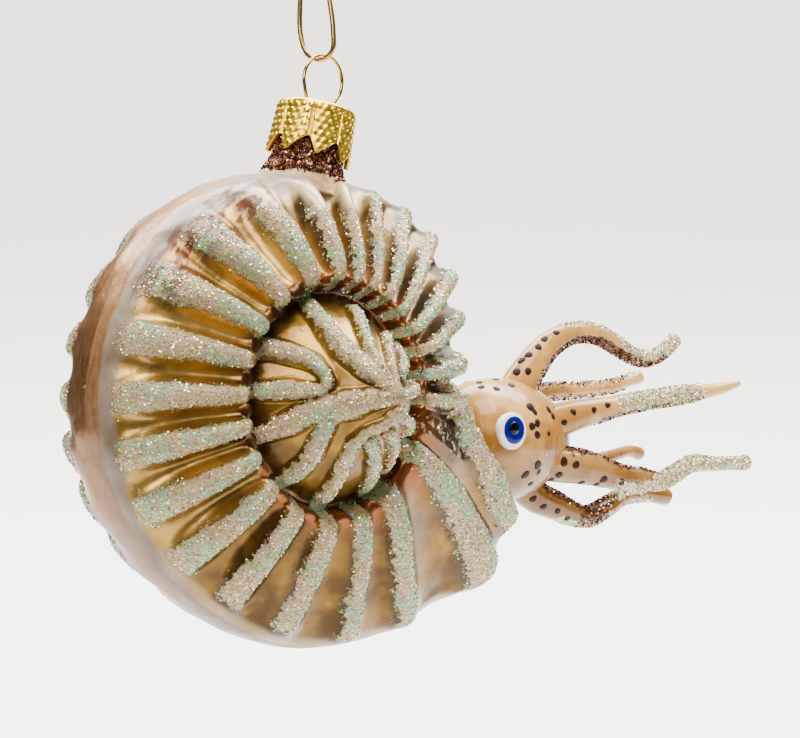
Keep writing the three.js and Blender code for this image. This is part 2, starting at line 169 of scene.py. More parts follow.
# The iris and the pupil sit a little off the white drop's middle.
SHIFTS = {"white": (0, 0, 0), "iris": (-0.05, 0, 0.15), "pupil": (-0.3, 0, 0.45)}

# Arms, root to tip: x, y, z, radius.
ARMS = {
    "arm_top": [
        (41, -0.4, -93, 3.2), (44, -1, -88.3, 2.7), (48.2, -1.5, -84.1, 2.15),
        (53, -2, -82.1, 1.75), (58, -2, -82.1, 1.6), (62.7, -2, -83.7, 1.5),
        (67.9, -1.5, -85.8, 1.35), (72.2, -1, -86.1, 1.25), (75.7, -1, -84.9, 1.1),
        (77.9, -1, -83.3, 1.15),
    ],
    "arm_upper_far": [
        (44, 2.6, -93.4, 2.0), (52.5, 4, -91.8, 1.5), (63.3, 5.5, -91.3, 1.25),
        (71.9, 7, -90.7, 1.1), (76.2, 7.5, -89.8, 1.05), (78.6, 8, -89.4, 1.2),
    ],
    "arm_upper_near": [
        (41, -2.6, -97.8, 3.2), (47.3, -4, -96.3, 2.85), (52.7, -5, -95, 2.35),
        (59.3, -6, -93.9, 1.7), (66.4, -6.5, -92.9, 1.5), (73.7, -7, -92.1, 1.5),
        (81.3, -7.5, -91.3, 1.05), (85.9, -8, -90.4, 0.65),
    ],
    "arm_lower_near": [
        (41, -2.8, -102.2, 3.2), (47.3, -4, -103.1, 3.0), (52.7, -5, -103.8, 2.75),
        (59.3, -6, -105.3, 2.1), (64.6, -6.5, -105.8, 1.7), (68.3, -7, -106.2, 1.5),
        (71.8, -7, -105.1, 1.45), (75.9, -7, -103.5, 1.35), (81.9, -7, -103.6, 1.1),
        (85.7, -7, -103.5, 1.0), (88.7, -7, -103.5, 1.2),
    ],
    "arm_lower_far": [
        (44, 2.8, -101.4, 2.2), (52, 3.8, -102.8, 2.05), (57.6, 4.2, -103.1, 1.85),
        (62.8, 5, -103.4, 1.4), (69.7, 6.5, -102.6, 1.1), (76.7, 8, -101.6, 1.0),
        (79.4, 8.5, -102, 1.15),
    ],
    "arm_bottom": [
        (41.5, 0.6, -104.5, 2.8), (47.4, 0.8, -108.5, 2.55), (52, 0.8, -110.1, 2.3),
        (55.9, 0.6, -111.5, 1.85), (60.2, 1.2, -111.9, 1.7), (65.1, 2, -110.6, 1.6),
        (69.7, 3, -109, 1.5), (76.4, 4, -108.6, 1.4), (81.8, 4.8, -109.2, 1.5),
    ],
}

# Painted dots on the arms: share of the length, angle from the near side upwards, radius.
ARM_DOTS = {
    "arm_top": [
        (0.09, 68, 0.6), (0.11, 35, 0.5), (0.136, 78, 0.55), (0.166, 68, 0.55),
        (0.211, 55, 0.5), (0.251, 60, 0.5), (0.302, 50, 0.45),
    ],
    "arm_upper_near": [
        (0.10, 38, 0.5), (0.108, 27, 0.45), (0.141, 0, 0.5), (0.191, 25, 0.5),
        (0.281, 12, 0.5), (0.347, 20, 0.5),
    ],
    "arm_lower_near": [
        (0.126, 5, 0.7), (0.176, 0, 0.6), (0.121, -40, 0.6), (0.231, -70, 0.6),
        (0.296, -68, 0.5), (0.307, -35, 0.6), (0.382, -30, 0.55), (0.106, -65, 0.5),
    ],
    "arm_bottom": [(0.121, -35, 0.55), (0.181, -35, 0.5), (0.256, -30, 0.55), (0.327, -45, 0.5)],
    "arm_upper_far": [(0.2, 150, 0.4), (0.3, 170, 0.4)],
    "arm_lower_far": [(0.2, 165, 0.45), (0.32, 185, 0.4)],
}

# Where the arms carry glitter: kind, share of the length from and to, angle it faces (None is
# all round) and how strongly.
ARM_GLITTER = {
    "arm_top": [
        ("pearl", 0.36, 0.97, 90, 1.0), ("pearl", 0.92, 1.1, None, 0.9),
        ("brown", 0.05, 0.94, -75, 1.0), ("pearl", 0.62, 0.97, 30, 0.8),
    ],
    "arm_upper_far": [
        ("brown", 0.05, 0.85, -90, 0.5), ("brown", 0.05, 0.9, 95, 0.45),
        ("pearl", 0.45, 1.1, 90, 0.5),
    ],
    "arm_upper_near": [("pearl", 0.42, 0.80, None, 1.0), ("brown", 0.3, 0.84, -95, 0.6)],
    "arm_lower_near": [
        ("pearl", 0.52, 1.1, None, 1.0), ("brown", 0.12, 0.55, 105, 0.8),
        ("pearl", 0.38, 0.6, -90, 0.9),
    ],
    "arm_lower_far": [("pearl", 0.4, 0.7, 90, 0.12)],
    "arm_bottom": [
        ("brown", 0.16, 0.66, 80, 1.0), ("pearl", 0.3, 0.86, -90, 0.9),
        ("brown", 0.38, 0.58, None, 0.6), ("pearl", 0.6, 0.86, 60, 0.7),
    ],
}


# ------------------------------------------------------------------ settings


def length(name, text, millimetres, low=0.0):
    """A length property, kept in metres."""
    return FloatProperty(
        name=name, description=text, default=millimetres * MM, min=low, unit="LENGTH", precision=5
    )


def paint(name, text, hex_text):
    """A colour property, its default given as an sRGB hex value."""
    return FloatVectorProperty(
        name=name, description=text, default=linear(hex_text)[:3], size=3, min=0, max=1,
        subtype="COLOR",
    )


def linear(hex_text):
    """An sRGB hex value as linear RGBA."""
    parts = [int(hex_text[i:i + 2], 16) / 255 for i in (1, 3, 5)]
    return (*[p / 12.92 if p <= 0.04045 else ((p + 0.055) / 1.055) ** 2.4 for p in parts], 1.0)


class ShellSettings(bpy.types.PropertyGroup):
    rib_height: length("Rib height", "Crest above the mean surface of the outer whorl", 1.7)
    fold_height: length("Fold height", "Height of the inner whorl's folds", 1.6)
    unevenness: length("Unevenness", "Soft waves left by blowing into the mould", 0.12)
    columns: IntProperty(name="Columns per rib", description="Mesh columns", default=16, min=4)
    rows: IntProperty(name="Rows", description="Mesh rows from keel to beak", default=118, min=20)
    amber: paint("Amber", "Lacquer over the silvering in the valleys", "#BE984C")
    umber: paint("Umber", "The deepest lacquer, next to the seam", "#45290C")
    copper: paint("Copper", "Copper tints in the lacquer and the keel band", "#94592A")
    pearl: paint("Pearl", "Pale pearl lacquer towards the rim", "#94784A")
    frost: paint("Frost", "Glue and fine glitter on the crests", "#AA9972")


class GlitterSettings(bpy.types.PropertyGroup):
    per_mm2: FloatProperty(
        name="Flakes per mm2", description="Loose flakes on the crests", default=5.5, min=0
    )
    flake: length("Flake size", "Radius of the largest hexagonal flake", 0.19)
    tilt: FloatProperty(
        name="Tilt", description="How far a flake may lie off the surface",
        default=math.radians(38), min=0, max=1.5, subtype="ANGLE",
    )
    seed: IntProperty(name="Seed", description="Seed of the scatter", default=7)


class BodySettings(bpy.types.PropertyGroup):
    tan: paint("Tan", "Pearl lacquer on the head and arms", "#96621C")
    cream: paint("Cream", "Lighter clouds in the lacquer", "#CC9C54")
    russet: paint("Russet", "Warmer lacquer where the arms root", "#6E3F18")
    dot: paint("Dots", "Dark brown painted dots", "#26120C")
    sides: IntProperty(name="Sides", description="Facets round an arm", default=22, min=8)
    steps: IntProperty(name="Steps", description="Rings along an arm", default=96, min=20)


class EyeSettings(bpy.types.PropertyGroup):
    radius: length("Radius", "Radius of the white drop", 2.95)
    white: paint("White", "Enamel of the eye", "#F4F3F0")
    iris: paint("Iris", "Blue enamel", "#0C0A6A")
    pupil: paint("Pupil", "Black enamel", "#050507")


class MetalSettings(bpy.types.PropertyGroup):
    bead_pitch: length("Bead pitch", "Spacing of the embossed beads of the cap", 1.2)
    bead_height: length("Bead height", "Height of the embossed beads", 0.22)
    ring_wire: length("Ring wire", "Radius of the ring's wire", 0.28)
    hook_wire: length("Hook wire", "Radius of the hook's wire", 0.4)
    gold: paint("Gold", "Bright gold anodised sheet", "#FFD23A")
    wire: paint("Wire", "Pale gold wire", "#C9A450")
    bronze: paint("Bronze", "Bronzed wire of the hook", "#A58A50")


class StageSettings(bpy.types.PropertyGroup):
    drop: length("Floor drop", "Height of the floor below the origin", -158.0, low=-1.0)
    # The wall's grey is painted shade for the light falling off up the sweep.
    backdrop: paint("Backdrop", "Painted sweep behind the ornament", "#B9B6AF")
    lens: FloatProperty(name="Lens", description="Focal length", default=204.75, min=20)
    reach: length("Reach", "Distance of the camera", 700.0)


class OrnamentSettings(bpy.types.PropertyGroup):
    shell: PointerProperty(type=ShellSettings)
    glitter: PointerProperty(type=GlitterSettings)
    body: PointerProperty(type=BodySettings)
    eye: PointerProperty(type=EyeSettings)
    metal: PointerProperty(type=MetalSettings)
    stage: PointerProperty(type=StageSettings)


# ------------------------------------------------------------------ maths


def smooth_keys(keys, x):
    """A smooth curve through unequally spaced keys, for an array x."""
    keys = np.asarray(keys, float)
    xs, ys = keys[:, 0], keys[:, 1]
    before = np.maximum(np.arange(len(xs)) - 1, 0)
    after = np.minimum(np.arange(len(xs)) + 1, len(xs) - 1)
    slope = (ys[after] - ys[before]) / (xs[after] - xs[before])
    i = np.clip(np.searchsorted(xs, x, side="right") - 1, 0, len(xs) - 2)
    h = xs[i + 1] - xs[i]
    t = np.clip((x - xs[i]) / h, 0, 1)
    return (
        (2 * t**3 - 3 * t**2 + 1) * ys[i] + (t**3 - 2 * t**2 + t) * h * slope[i]
        + (3 * t**2 - 2 * t**3) * ys[i + 1] + (t**3 - t**2) * h * slope[i + 1]
    )


def smoothstep(low, high, x):
    t = np.clip((x - low) / (high - low), 0, 1)
    return t * t * (3 - 2 * t)


def ripple(points, size, seed=0.0):
    """Soft value noise from -1 to 1 with features of about the given size, the same each run."""
    p = np.asarray(points, float) * (TAU / size)
    x, y, z = p[..., 0], p[..., 1], p[..., 2]
    out = np.sin(x * 0.71 + 1.3 * np.sin(y * 0.53 + seed) + seed)
    out = out + np.sin(y * 0.83 + 1.1 * np.sin(z * 0.61 + 2.1 + seed) + 1.7)
    out = out + np.sin(z * 0.77 + 1.2 * np.sin(x * 0.47 + 0.4) + 3.1 + 2 * seed)
    return out / 3


def smooth_path(points, count):
    """Evenly spaced samples of a centripetal curve through points; extra columns ride along."""
    k = np.asarray(points, float)
    p = np.vstack([2 * k[0] - k[1], k, 2 * k[-1] - k[-2]])
    u = np.concatenate([[0], np.cumsum(np.linalg.norm(np.diff(p[:, :3], axis=0), axis=1) ** 0.5)])
    x = np.linspace(u[1], u[-2], 40 * len(k))
    i = np.clip(np.searchsorted(u, x, side="right") - 1, 1, len(p) - 3)
    t0, t1, t2, t3 = (u[i + d][:, None] for d in (-1, 0, 1, 2))
    p0, p1, p2, p3 = (p[i + d] for d in (-1, 0, 1, 2))
    x = x[:, None]
    a1 = (t1 - x) / (t1 - t0) * p0 + (x - t0) / (t1 - t0) * p1
    a2 = (t2 - x) / (t2 - t1) * p1 + (x - t1) / (t2 - t1) * p2
    a3 = (t3 - x) / (t3 - t2) * p2 + (x - t2) / (t3 - t2) * p3
    b1 = (t2 - x) / (t2 - t0) * a1 + (x - t0) / (t2 - t0) * a2
    b2 = (t3 - x) / (t3 - t1) * a2 + (x - t1) / (t3 - t1) * a3
    fine = (t2 - x) / (t2 - t1) * b1 + (x - t1) / (t2 - t1) * b2
    run = np.linalg.norm(np.diff(fine[:, :3], axis=0), axis=1)
    run = np.concatenate([[0], np.cumsum(run)])
    even = np.linspace(0, run[-1], count)
    return np.stack([np.interp(even, run, fine[:, c]) for c in range(fine.shape[1])], 1)


def unit(v):
    return v / np.maximum(np.linalg.norm(v, axis=-1, keepdims=True), 1e-9)


# ------------------------------------------------------------------ meshes


class Surface:
    """Vertices in millimetres, faces as arrays of corner numbers, and named values per vertex."""

    def __init__(self, points, quads, triangles, **values):
        self.points = np.asarray(points, float)
        self.quads = np.asarray(quads, int).reshape(-1, 4)
        self.triangles = np.asarray(triangles, int).reshape(-1, 3)
        self.values = values

    def volume(self):
        q, t = self.quads, self.triangles
        corners = np.concatenate([q[:, [0, 1, 2]], q[:, [0, 2, 3]], t])
        a, b, c = (self.points[corners[:, i]] for i in range(3))
        return float((a * np.cross(b, c)).sum() / 6)

    def outward(self):
        """Turns the faces so that they point out of the closed body."""
        if self.volume() < 0:
            self.quads = self.quads[:, ::-1]
            self.triangles = self.triangles[:, ::-1]
        return self


def loft(start, rings, end, **values):
    """A closed surface from a start point over rings of equal count to an end point. Values are
    given per ring and column, and the two end points take the mean of the ring beside them."""
    rings = np.asarray(rings, float)
    count, n = rings.shape[:2]
    points = np.concatenate([[start], rings.reshape(-1, 3), [end]])
    grid = 1 + np.arange(count * n).reshape(count, n)
    turned = np.roll(grid, -1, axis=1)
    quads = np.stack([grid[:-1], turned[:-1], turned[1:], grid[1:]], -1).reshape(-1, 4)
    last = len(points) - 1
    first_fan = np.stack([np.zeros(n, int), turned[0], grid[0]], -1)
    last_fan = np.stack([grid[-1], turned[-1], np.full(n, last)], -1)
    spread = {
        key: np.concatenate([[v[0].mean()], np.asarray(v, float).ravel(), [v[-1].mean()]])
        for key, v in values.items()
    }
    return Surface(points, quads, np.concatenate([first_fan, last_fan]), **spread).outward()


def joined(surfaces):
    """Several surfaces as one, keeping the values that all of them have."""
    shift, points, quads, triangles = 0, [], [], []
    keys = set.intersection(*[set(s.values) for s in surfaces])
    for s in surfaces:
        points.append(s.points)
        quads.append(s.quads + shift)
        triangles.append(s.triangles + shift)
        shift += len(s.points)
    values = {key: np.concatenate([s.values[key] for s in surfaces]) for key in sorted(keys)}
    parts = (np.concatenate(part) for part in (points, quads, triangles))
    return Surface(*parts, **values)


def make_object(name, surface, material, smooth=True):
    """A mesh object at the origin, with its place in its mesh, in metres."""
    mesh = bpy.data.meshes.new(name)
    faces = surface.quads.tolist() + surface.triangles.tolist()
    mesh.from_pydata((surface.points * MM).tolist(), [], faces)
    for key, value in surface.values.items():
        mesh.attributes.new(key, "FLOAT", "POINT").data.foreach_set("value", value)
    mesh.polygons.foreach_set("use_smooth", np.full(len(mesh.polygons), smooth))
    mesh.materials.append(material)
    mesh.update()
    made = bpy.data.objects.new(name, mesh)
    bpy.context.scene.collection.objects.link(made)
    return made


def finish_piece(piece, slot, *nodes):
    """Rides a piece on the ornament and hides the parts of model.glb that it replaces."""
    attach(piece, "root")
    if nodes:
        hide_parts(*nodes)
    return piece


def sweep(path, radius, sides):
    """A round bar along a path, with domed ends."""
    path = np.asarray(path, float)
    radius = np.broadcast_to(np.asarray(radius, float), (len(path),))
    tangent = unit(np.gradient(path, axis=0))
    side = np.empty_like(path)
    guess = np.array([0.31, 0.93, 0.17])
    for i, t in enumerate(tangent):
        guess = unit(guess - t * (guess @ t))
        side[i] = guess
    up = np.cross(tangent, side)
    angle = np.arange(sides) * TAU / sides
    ring = np.cos(angle)[None, :, None] * side[:, None] + np.sin(angle)[None, :, None] * up[:, None]
    rings = path[:, None] + radius[:, None, None] * ring
    caps = []
    for end, sign in ((0, -1), (-1, 1)):
        caps.append([
            path[end] + radius[end] * (
                math.cos(a) * ring[end] + sign * 0.95 * math.sin(a) * tangent[end]
            )
            for a in np.radians([25, 50, 72])
        ])
    rings = np.concatenate([caps[0][::-1], rings, caps[1]])
    ends = [path[e] + s * 0.95 * radius[e] * tangent[e] for e, s in ((0, -1), (-1, 1))]
    return loft(ends[0], rings, ends[1])


# ------------------------------------------------------------------ nodes


def add_node(tree, kind, inputs=None, output=0, **options):
    """Adds a node with its settings. Each input is a value or a socket. Gives one output."""
    made = tree.nodes.new(kind)
    for key, value in options.items():
        setattr(made, key, value)
    for key, value in (inputs or {}).items():
        if isinstance(value, bpy.types.NodeSocket):
            tree.links.new(value, made.inputs[key])
        else:
            made.inputs[key].default_value = value
    return made.outputs[output] if len(made.outputs) else None


# Kinds of step in a finish: node, the inputs that a row gives in order, output and settings.
# Any other kind is an operation of the Math node.
STEPS = {
    "mix": ("ShaderNodeMix", (0, 6, 7), 2, {"data_type": "RGBA"}),
    "ease": (
        "ShaderNodeMapRange", ("Value", "From Min", "From Max", "To Min", "To Max"), 0,
        {"interpolation_type": "SMOOTHSTEP"},
    ),
    "noise": ("ShaderNodeTexNoise", ("Vector", "Scale", "Detail", "Roughness"), 0, {}),
    "stretch": ("ShaderNodeMapping", ("Vector", "Scale"), 0, {}),
    "pair": ("ShaderNodeCombineXYZ", ("X", "Y"), 0, {}),
    "x of": ("ShaderNodeSeparateXYZ", ("Vector",), "X", {}),
    "z of": ("ShaderNodeSeparateXYZ", ("Vector",), "Z", {}),
    "clamp": ("ShaderNodeClamp", ("Value",), 0, {}),
    "bump": ("ShaderNodeBump", ("Height", "Distance", "Strength", "Normal"), 0, {}),
}
MATH = ("ShaderNodeMath", (0, 1), 0)
ENDS = {"colour": "Base Color", "metal": "Metallic", "rough": "Roughness", "normal": "Normal"}


def new_material(name, constants, zones=(), rows=(), **known):
    """A material with one Principled shader, its constant inputs set on its own sockets. Zones
    are values kept on the mesh. Each row is a name, a kind of step and its inputs, which are
    numbers, hex colours or the names of zones, known values and earlier rows. A noise's scale is
    1000 over the size of its features in millimetres. Rows named in ENDS reach the shader."""
    material = bpy.data.materials.new(name)
    material.use_nodes = True
    tree = material.node_tree
    tree.nodes.clear()
    surface = add_node(tree, "ShaderNodeBsdfPrincipled", constants)
    add_node(tree, "ShaderNodeOutputMaterial", {"Surface": surface})
    known["where"] = add_node(tree, "ShaderNodeTexCoord", output="Object")
    for zone in zones:
        known[zone] = add_node(tree, "ShaderNodeAttribute", output="Fac", attribute_name=zone)
    for row, kind, *given in rows:
        node, keys, output, options = STEPS.get(kind) or (*MATH, {"operation": kind})
        inputs = {
            key: linear(value) if str(value).startswith("#") else known.get(value, value)
            for key, value in zip(keys, given)
        }
        known[row] = add_node(tree, node, inputs, output, **options)
    for row, key in ENDS.items():
        if row in known:
            tree.links.new(known[row], surface.node.inputs[key])
    return material, tree, surface.node


def rgba(colour):
    return (*colour[:3], 1.0)


# ------------------------------------------------------------------ finishes


def silvered_lacquer(settings):
    """Blown glass, silvered inside and lacquered amber outside: dark metal-bright valleys that
    turn to pale pearl at the rim, a satin copper keel band, and crests frosted with glue."""
    zones = ("cover", "band", "strip", "depth", "rim", "groove", "bare", "brushed", "inward",
             "low", "inside", "under", "clump", "along", "across")
    rows = [
        ("cloud", "noise", "where", 1000 / 8, 3, 0.55),
        ("patch", "noise", "where", 1000 / 4, 2, 0.5),
        ("blotch", "noise", "where", 1000 / 2.2, 2, 0.5),
        ("drawn", "stretch", "where", (0.45, 0.45, 1)),
        ("grain", "noise", "drawn", 1000 / 0.36, 2, 0.75),
        ("fringe", "noise", "where", 1000 / 1.1, 3, 0.7),
        # The glue film has a torn, brushed edge: its cover value is cut by a fine noise.
        ("torn", "SUBTRACT", "fringe", 0.5),
        ("torn", "MULTIPLY", "torn", 2),
        ("torn", "ADD", "cover", "torn"),
        ("film", "ease", "torn", -0.12, 0.12),
        # Amber lacquer, copper and umber towards the seam.
        ("light", "ease", "cloud", 0.35, 0.65),
        ("amber", "mix", "light", "#80602A", "amber"),
        ("patchy", "ease", "patch", 0.5, 0.66),
        ("coppery", "mix", "patchy", "umber", "copper"),
        ("sunk", "ease", "depth", 0.5, 1, 0, 0.6),
        ("sunk", "MULTIPLY", "sunk", "inside"),
        ("amber", "mix", "sunk", "amber", "umber"),
        ("seamward", "ease", "inward", 0.35, 1),
        ("floor", "mix", "seamward", "amber", "coppery"),
        ("sloping", "ease", "depth", 0.3, 0.9),
        ("slope", "mix", "sloping", "#97783A", "floor"),
        # Painted shade: where the glass would mirror the pale ground and wall, the valleys are painted
        # darker, darkest on their slopes, with painted copper highlights towards the seam.
        ("cloudy", "ease", "cloud", 0.38, 0.62),
        ("deep", "mix", "cloudy", "#3C270A", "#66460F"),
        ("patchy", "ease", "patch", 0.6, 0.85),
        ("deep", "mix", "patchy", "deep", "#94701E"),
        ("sloping", "ease", "depth", 0.4, 0.85),
        ("deep", "mix", "sloping", "#1E1104", "deep"),
        ("seamward", "ease", "inward", 0.3, 0.9, 0, 0.6),
        ("deep", "mix", "seamward", "deep", "#8A4A1C"),
        # The painted shade lies on the valleys all round but the left side.
        ("lowest", "MULTIPLY", "low", 0.9),
        ("slope", "mix", "lowest", "slope", "deep"),
        ("core", "mix", "light", "#5A3E0C", "#94701E"),
        ("middle", "MULTIPLY", "inside", 0.8),
        ("slope", "mix", "middle", "slope", "core"),
        # The lacquer thins towards the rim, so the valleys pale to pearl there.
        ("thin", "MULTIPLY", "cloud", 0.5),
        ("thin", "ADD", "rim", "thin"),
        ("pale", "ease", "thin", 0.75, 1.2),
        ("valley", "mix", "pale", "slope", "pearl"),
        ("valley", "mix", "bare", "valley", "#C2A87A"),
        # Painted shade: a dark line along the crease of the seam.
        ("valley", "mix", "groove", "valley", "#3A220A"),
        # Frosted crests, greener where the glitter lies in clumps.
        ("warm", "ease", "blotch", 0.4, 0.62),
        ("crest", "mix", "warm", "#8E7244", "#A2806A"),
        ("cool", "MULTIPLY", "clump", 0.55),
        ("crest", "mix", "cool", "crest", "#6E8A78"),
        ("grainy", "ease", "grain", 0.3, 0.7),
        ("crest", "mix", "grainy", "crest", "frost"),
        ("grainy", "ease", "grain", 0.6, 0.75),
        ("crest", "mix", "grainy", "crest", "#D6CDB2"),
        ("flank", "mix", "film", "valley", "crest"),
        # The pale strip, with brush strokes of brown along it a few millimetres long.
        ("lie", "pair", "along", "across"),
        ("stroke", "noise", "lie", 1, 2, 0.6),
        ("chalk", "mix", "light", "#70604E", "#9C8C78"),
        # Painted shade: the strip is darker on the lower left, away from the light.
        ("shade", "MULTIPLY", "under", 0.65),
        ("chalk", "mix", "shade", "chalk", "#5A4632"),
        ("edged", "mix", "strip", "flank", "chalk"),
        ("streak", "ease", "stroke", 0.47, 0.54),
        ("streak", "MULTIPLY", "streak", "brushed"),
        ("edged", "mix", "streak", "edged", "#5E3420"),
        # The copper keel band over all of it.
        ("satin", "ease", "stroke", 0.35, 0.65),
        ("keel", "mix", "satin", "#8A5E36", "#A87846"),
        # Painted shade: the band is darker on the lower left, away from the light.
        ("shade", "MULTIPLY", "under", 0.75),
        ("keel", "mix", "shade", "keel", "#573C24"),
        ("colour", "mix", "band", "edged", "keel"),
        # The silvering shows through clear lacquer, less through pearl, and not through glue.
        ("pearly", "MULTIPLY", "pale", 0.45),
        ("metal", "SUBTRACT", 0.85, "pearly"),
        ("plain", "MULTIPLY", "bare", 0.6),
        ("metal", "SUBTRACT", "metal", "plain"),
        ("clear", "SUBTRACT", 1, "film"),
        ("metal", "MULTIPLY", "metal", "clear"),
        ("matt", "MULTIPLY", "band", 0.4),
        ("matt", "SUBTRACT", 0.85, "matt"),
        ("matt", "MULTIPLY", "strip", "matt"),
        ("matt", "SUBTRACT", 1, "matt"),
        ("metal", "MULTIPLY", "metal", "matt"),
        ("metal", "clamp", "metal"),
        ("rough", "MULTIPLY", "film", 0.28),
        ("rough", "ADD", 0.34, "rough"),
        ("part", "MULTIPLY", "pale", 0.1),
        ("rough", "ADD", "rough", "part"),
        ("part", "MULTIPLY", "strip", 0.1),
        ("rough", "ADD", "rough", "part"),
        # Frosting grain, 0.4 mm, only where the crests are frosted; soft ripples in the glass.
        ("grit", "MULTIPLY", "grain", "film"),
        ("normal", "bump", "grit", 0.3 * MM, 1),
        ("normal", "bump", "blotch", 0.12 * MM, 1, "normal"),
    ]
    tints = {key: rgba(getattr(settings, key)) for key in ("amber", "umber", "copper", "pearl", "frost")}
    clear_coat = {"Coat Weight": 0.2, "Coat Roughness": 0.06, "IOR": 1.5}
    return new_material("silvered_amber_lacquer", clear_coat, zones, rows, **tints)[0]


def glitter_foil(name, tints, roughness, metallic):
    """Cut polyester film: hard bright flakes, each one flat colour of the film's iridescence."""
    material, tree, shader = new_material(name, {"Metallic": metallic, "Roughness": roughness})
    tint = add_node(tree, "ShaderNodeAttribute", output="Fac", attribute_name="tint")
    colour = add_node(tree, "ShaderNodeValToRGB", {"Fac": tint})
    ramp = colour.node.color_ramp
    ramp.interpolation = "CONSTANT"
    ramp.elements.remove(ramp.elements[1])
    position = 0.0
    for i, (share, hex_text) in enumerate(tints):
        element = ramp.elements[0] if i == 0 else ramp.elements.new(position)
        element.position = position
        element.color = linear(hex_text)
        position += share
    tree.links.new(colour, shader.inputs["Base Color"])
    return material


def pearl_lacquer(settings, name, root_x):
    """Tan pearl lacquer sprayed on glass: soft sheen, cloudy, warmer where the arms root."""
    rows = [
        ("cloud", "noise", "where", 1000 / 7, 2.5, 0.5),
        ("speck", "noise", "where", 1000 / 1.2, 2, 0.5),
        ("light", "ease", "cloud", 0.38, 0.62),
        ("colour", "mix", "light", "tan", "cream"),
        ("x", "x of", "where"),
        ("z", "z of", "where"),
        ("rooted", "ease", "x", (root_x - 5) * MM, (root_x + 4) * MM),
        ("fading", "ease", "x", (root_x + 6) * MM, (root_x + 20) * MM, 1, 0),
        ("warm", "MULTIPLY", "rooted", "fading"),
        ("warm", "MULTIPLY", "warm", 0.6),
        ("patchy", "ease", "cloud", 0.35, 0.6, 1, 0.3),
        ("warm", "MULTIPLY", "warm", "patchy"),
        ("colour", "mix", "warm", "colour", "russet"),
        # Painted shade and highlight: browner underneath and creamier on top, for the light from above.
        ("under", "ease", "z", -109 * MM, -94 * MM, 0.8, 0),
        ("colour", "mix", "under", "colour", "#643F12"),
        ("over", "ease", "z", -99 * MM, -91 * MM, 0, 0.4),
        ("colour", "mix", "over", "colour", "#DCA85C"),
        ("flecks", "ease", "speck", 0.62, 0.75, 0, 0.25),
        ("colour", "mix", "flecks", "colour", "cream"),
        ("torn", "noise", "where", 1000 / 0.6, 2, 0.6),
        ("torn", "SUBTRACT", "torn", 0.5),
    ]
    # Glue under the glitter: whitish where it is pearl, dark where it is brown.
    for zone, hex_text in (("pearl", "#CDBFAE"), ("brown", "#5C3A22")):
        rows += [
            ("glue", "ADD", zone, "torn"),
            ("glue", "ease", "glue", 0.3, 0.5),
            ("colour", "mix", "glue", "colour", hex_text),
        ]
    rows += [
        ("rough", "ease", "cloud", 0.3, 0.7, 0.24, 0.36),
        ("normal", "bump", "cloud", 0.5 * MM, 1),
    ]
    tints = {key: rgba(getattr(settings, key)) for key in ("tan", "cream", "russet")}
    skin = {"Coat Weight": 0.3, "Coat Roughness": 0.04, "IOR": 1.45, "Specular IOR Level": 0.2}
    return new_material(name, skin, ("pearl", "brown"), rows, **tints)[0]


def enamel(name, base, roughness=0.12, coat=0.6, specular=0.5):
    """Air-dried gloss enamel: even colour, a hard clear skin, faint brush waves."""
    rows = [
        ("wave", "noise", "where", 1000 / 1.4, 2, 0.5),
        ("thick", "ease", "wave", 0.35, 0.65, 0, 0.35),
        ("colour", "mix", "thick", "base", "darker"),
        ("normal", "bump", "wave", 0.04 * MM, 1),
    ]
    skin = {"Coat Weight": coat, "Coat Roughness": 0.04, "Roughness": roughness,
            "Specular IOR Level": specular}
    darker = tuple(c * 0.8 for c in base[:3]) + (1.0,)
    return new_material(name, skin, (), rows, base=base, darker=darker)[0]


def dot_enamel(settings):
    """Matt brown paint, shared by the dots of the head and the arms."""
    kept = bpy.data.materials.get("dot_enamel")
    return kept or enamel("dot_enamel", rgba(settings.dot), 0.5, 0.0, 0.12)


def neck_lacquer():
    """Pearl lacquer at the neck's foot, under dark glue where the glitter starts."""
    rows = [
        ("glued", "ease", "brown", 0.3, 0.6),
        ("cloud", "noise", "where", 1000 / 3, 2, 0.5),
        ("cloudy", "ease", "cloud", 0.45, 0.6),
        ("pearl", "mix", "cloudy", "#C2A87A", "#94704A"),
        ("colour", "mix", "glued", "pearl", "#2C150C"),
    ]
    skin = {"Roughness": 0.4, "Specular IOR Level": 0.25}
    return new_material("neck_lacquer", skin, ("brown",), rows)[0]


def bright_metal(name, rgb, roughness, size_mm=1.5):
    """Bright anodised or plated metal: mirror-like, with faint handling marks."""
    rows = [
        ("wear", "noise", "where", 1000 / size_mm, 4, 0.6),
        ("worn", "ease", "wear", 0.4, 0.75, 0, 0.7),
        ("colour", "mix", "worn", "bright", "dull"),
        ("rough", "ease", "wear", 0.3, 0.7, roughness * 0.7, roughness * 1.4),
        ("normal", "bump", "wear", 0.03 * MM, 1),
    ]
    dull = tuple(c * 0.72 for c in rgb[:3]) + (1.0,)
    return new_material(name, {"Metallic": 1.0}, (), rows, bright=rgba(rgb), dull=dull)[0]


# ------------------------------------------------------------------ shell


def wrapped(degrees):
    """The same angle within one turn from the lip."""
    return np.mod(degrees - LIP_ANGLE, 360) + LIP_ANGLE


def rib_angle(q, s):
    """Angle of the line that keeps the rib count q, at a share s of the way keel to seam."""
    i = np.floor(q).astype(int)

    def at(k):
        rib = RIBS[np.mod(k, len(RIBS))]
        return rib[..., 0] + (rib[..., 1] - rib[..., 0]) * s + 360 * np.floor_divide(k, len(RIBS))

    return at(i) + (at(i + 1) - at(i)) * (q - i)


def rib_share(q):
    """Height of the ribs either side of the rib count q, blended."""
    i = np.floor(q).astype(int)
    f = smoothstep(0.2, 0.8, q - i)
    return RIBS[np.mod(i, len(RIBS)), 2] * (1 - f) + RIBS[np.mod(i + 1, len(RIBS)), 2] * f


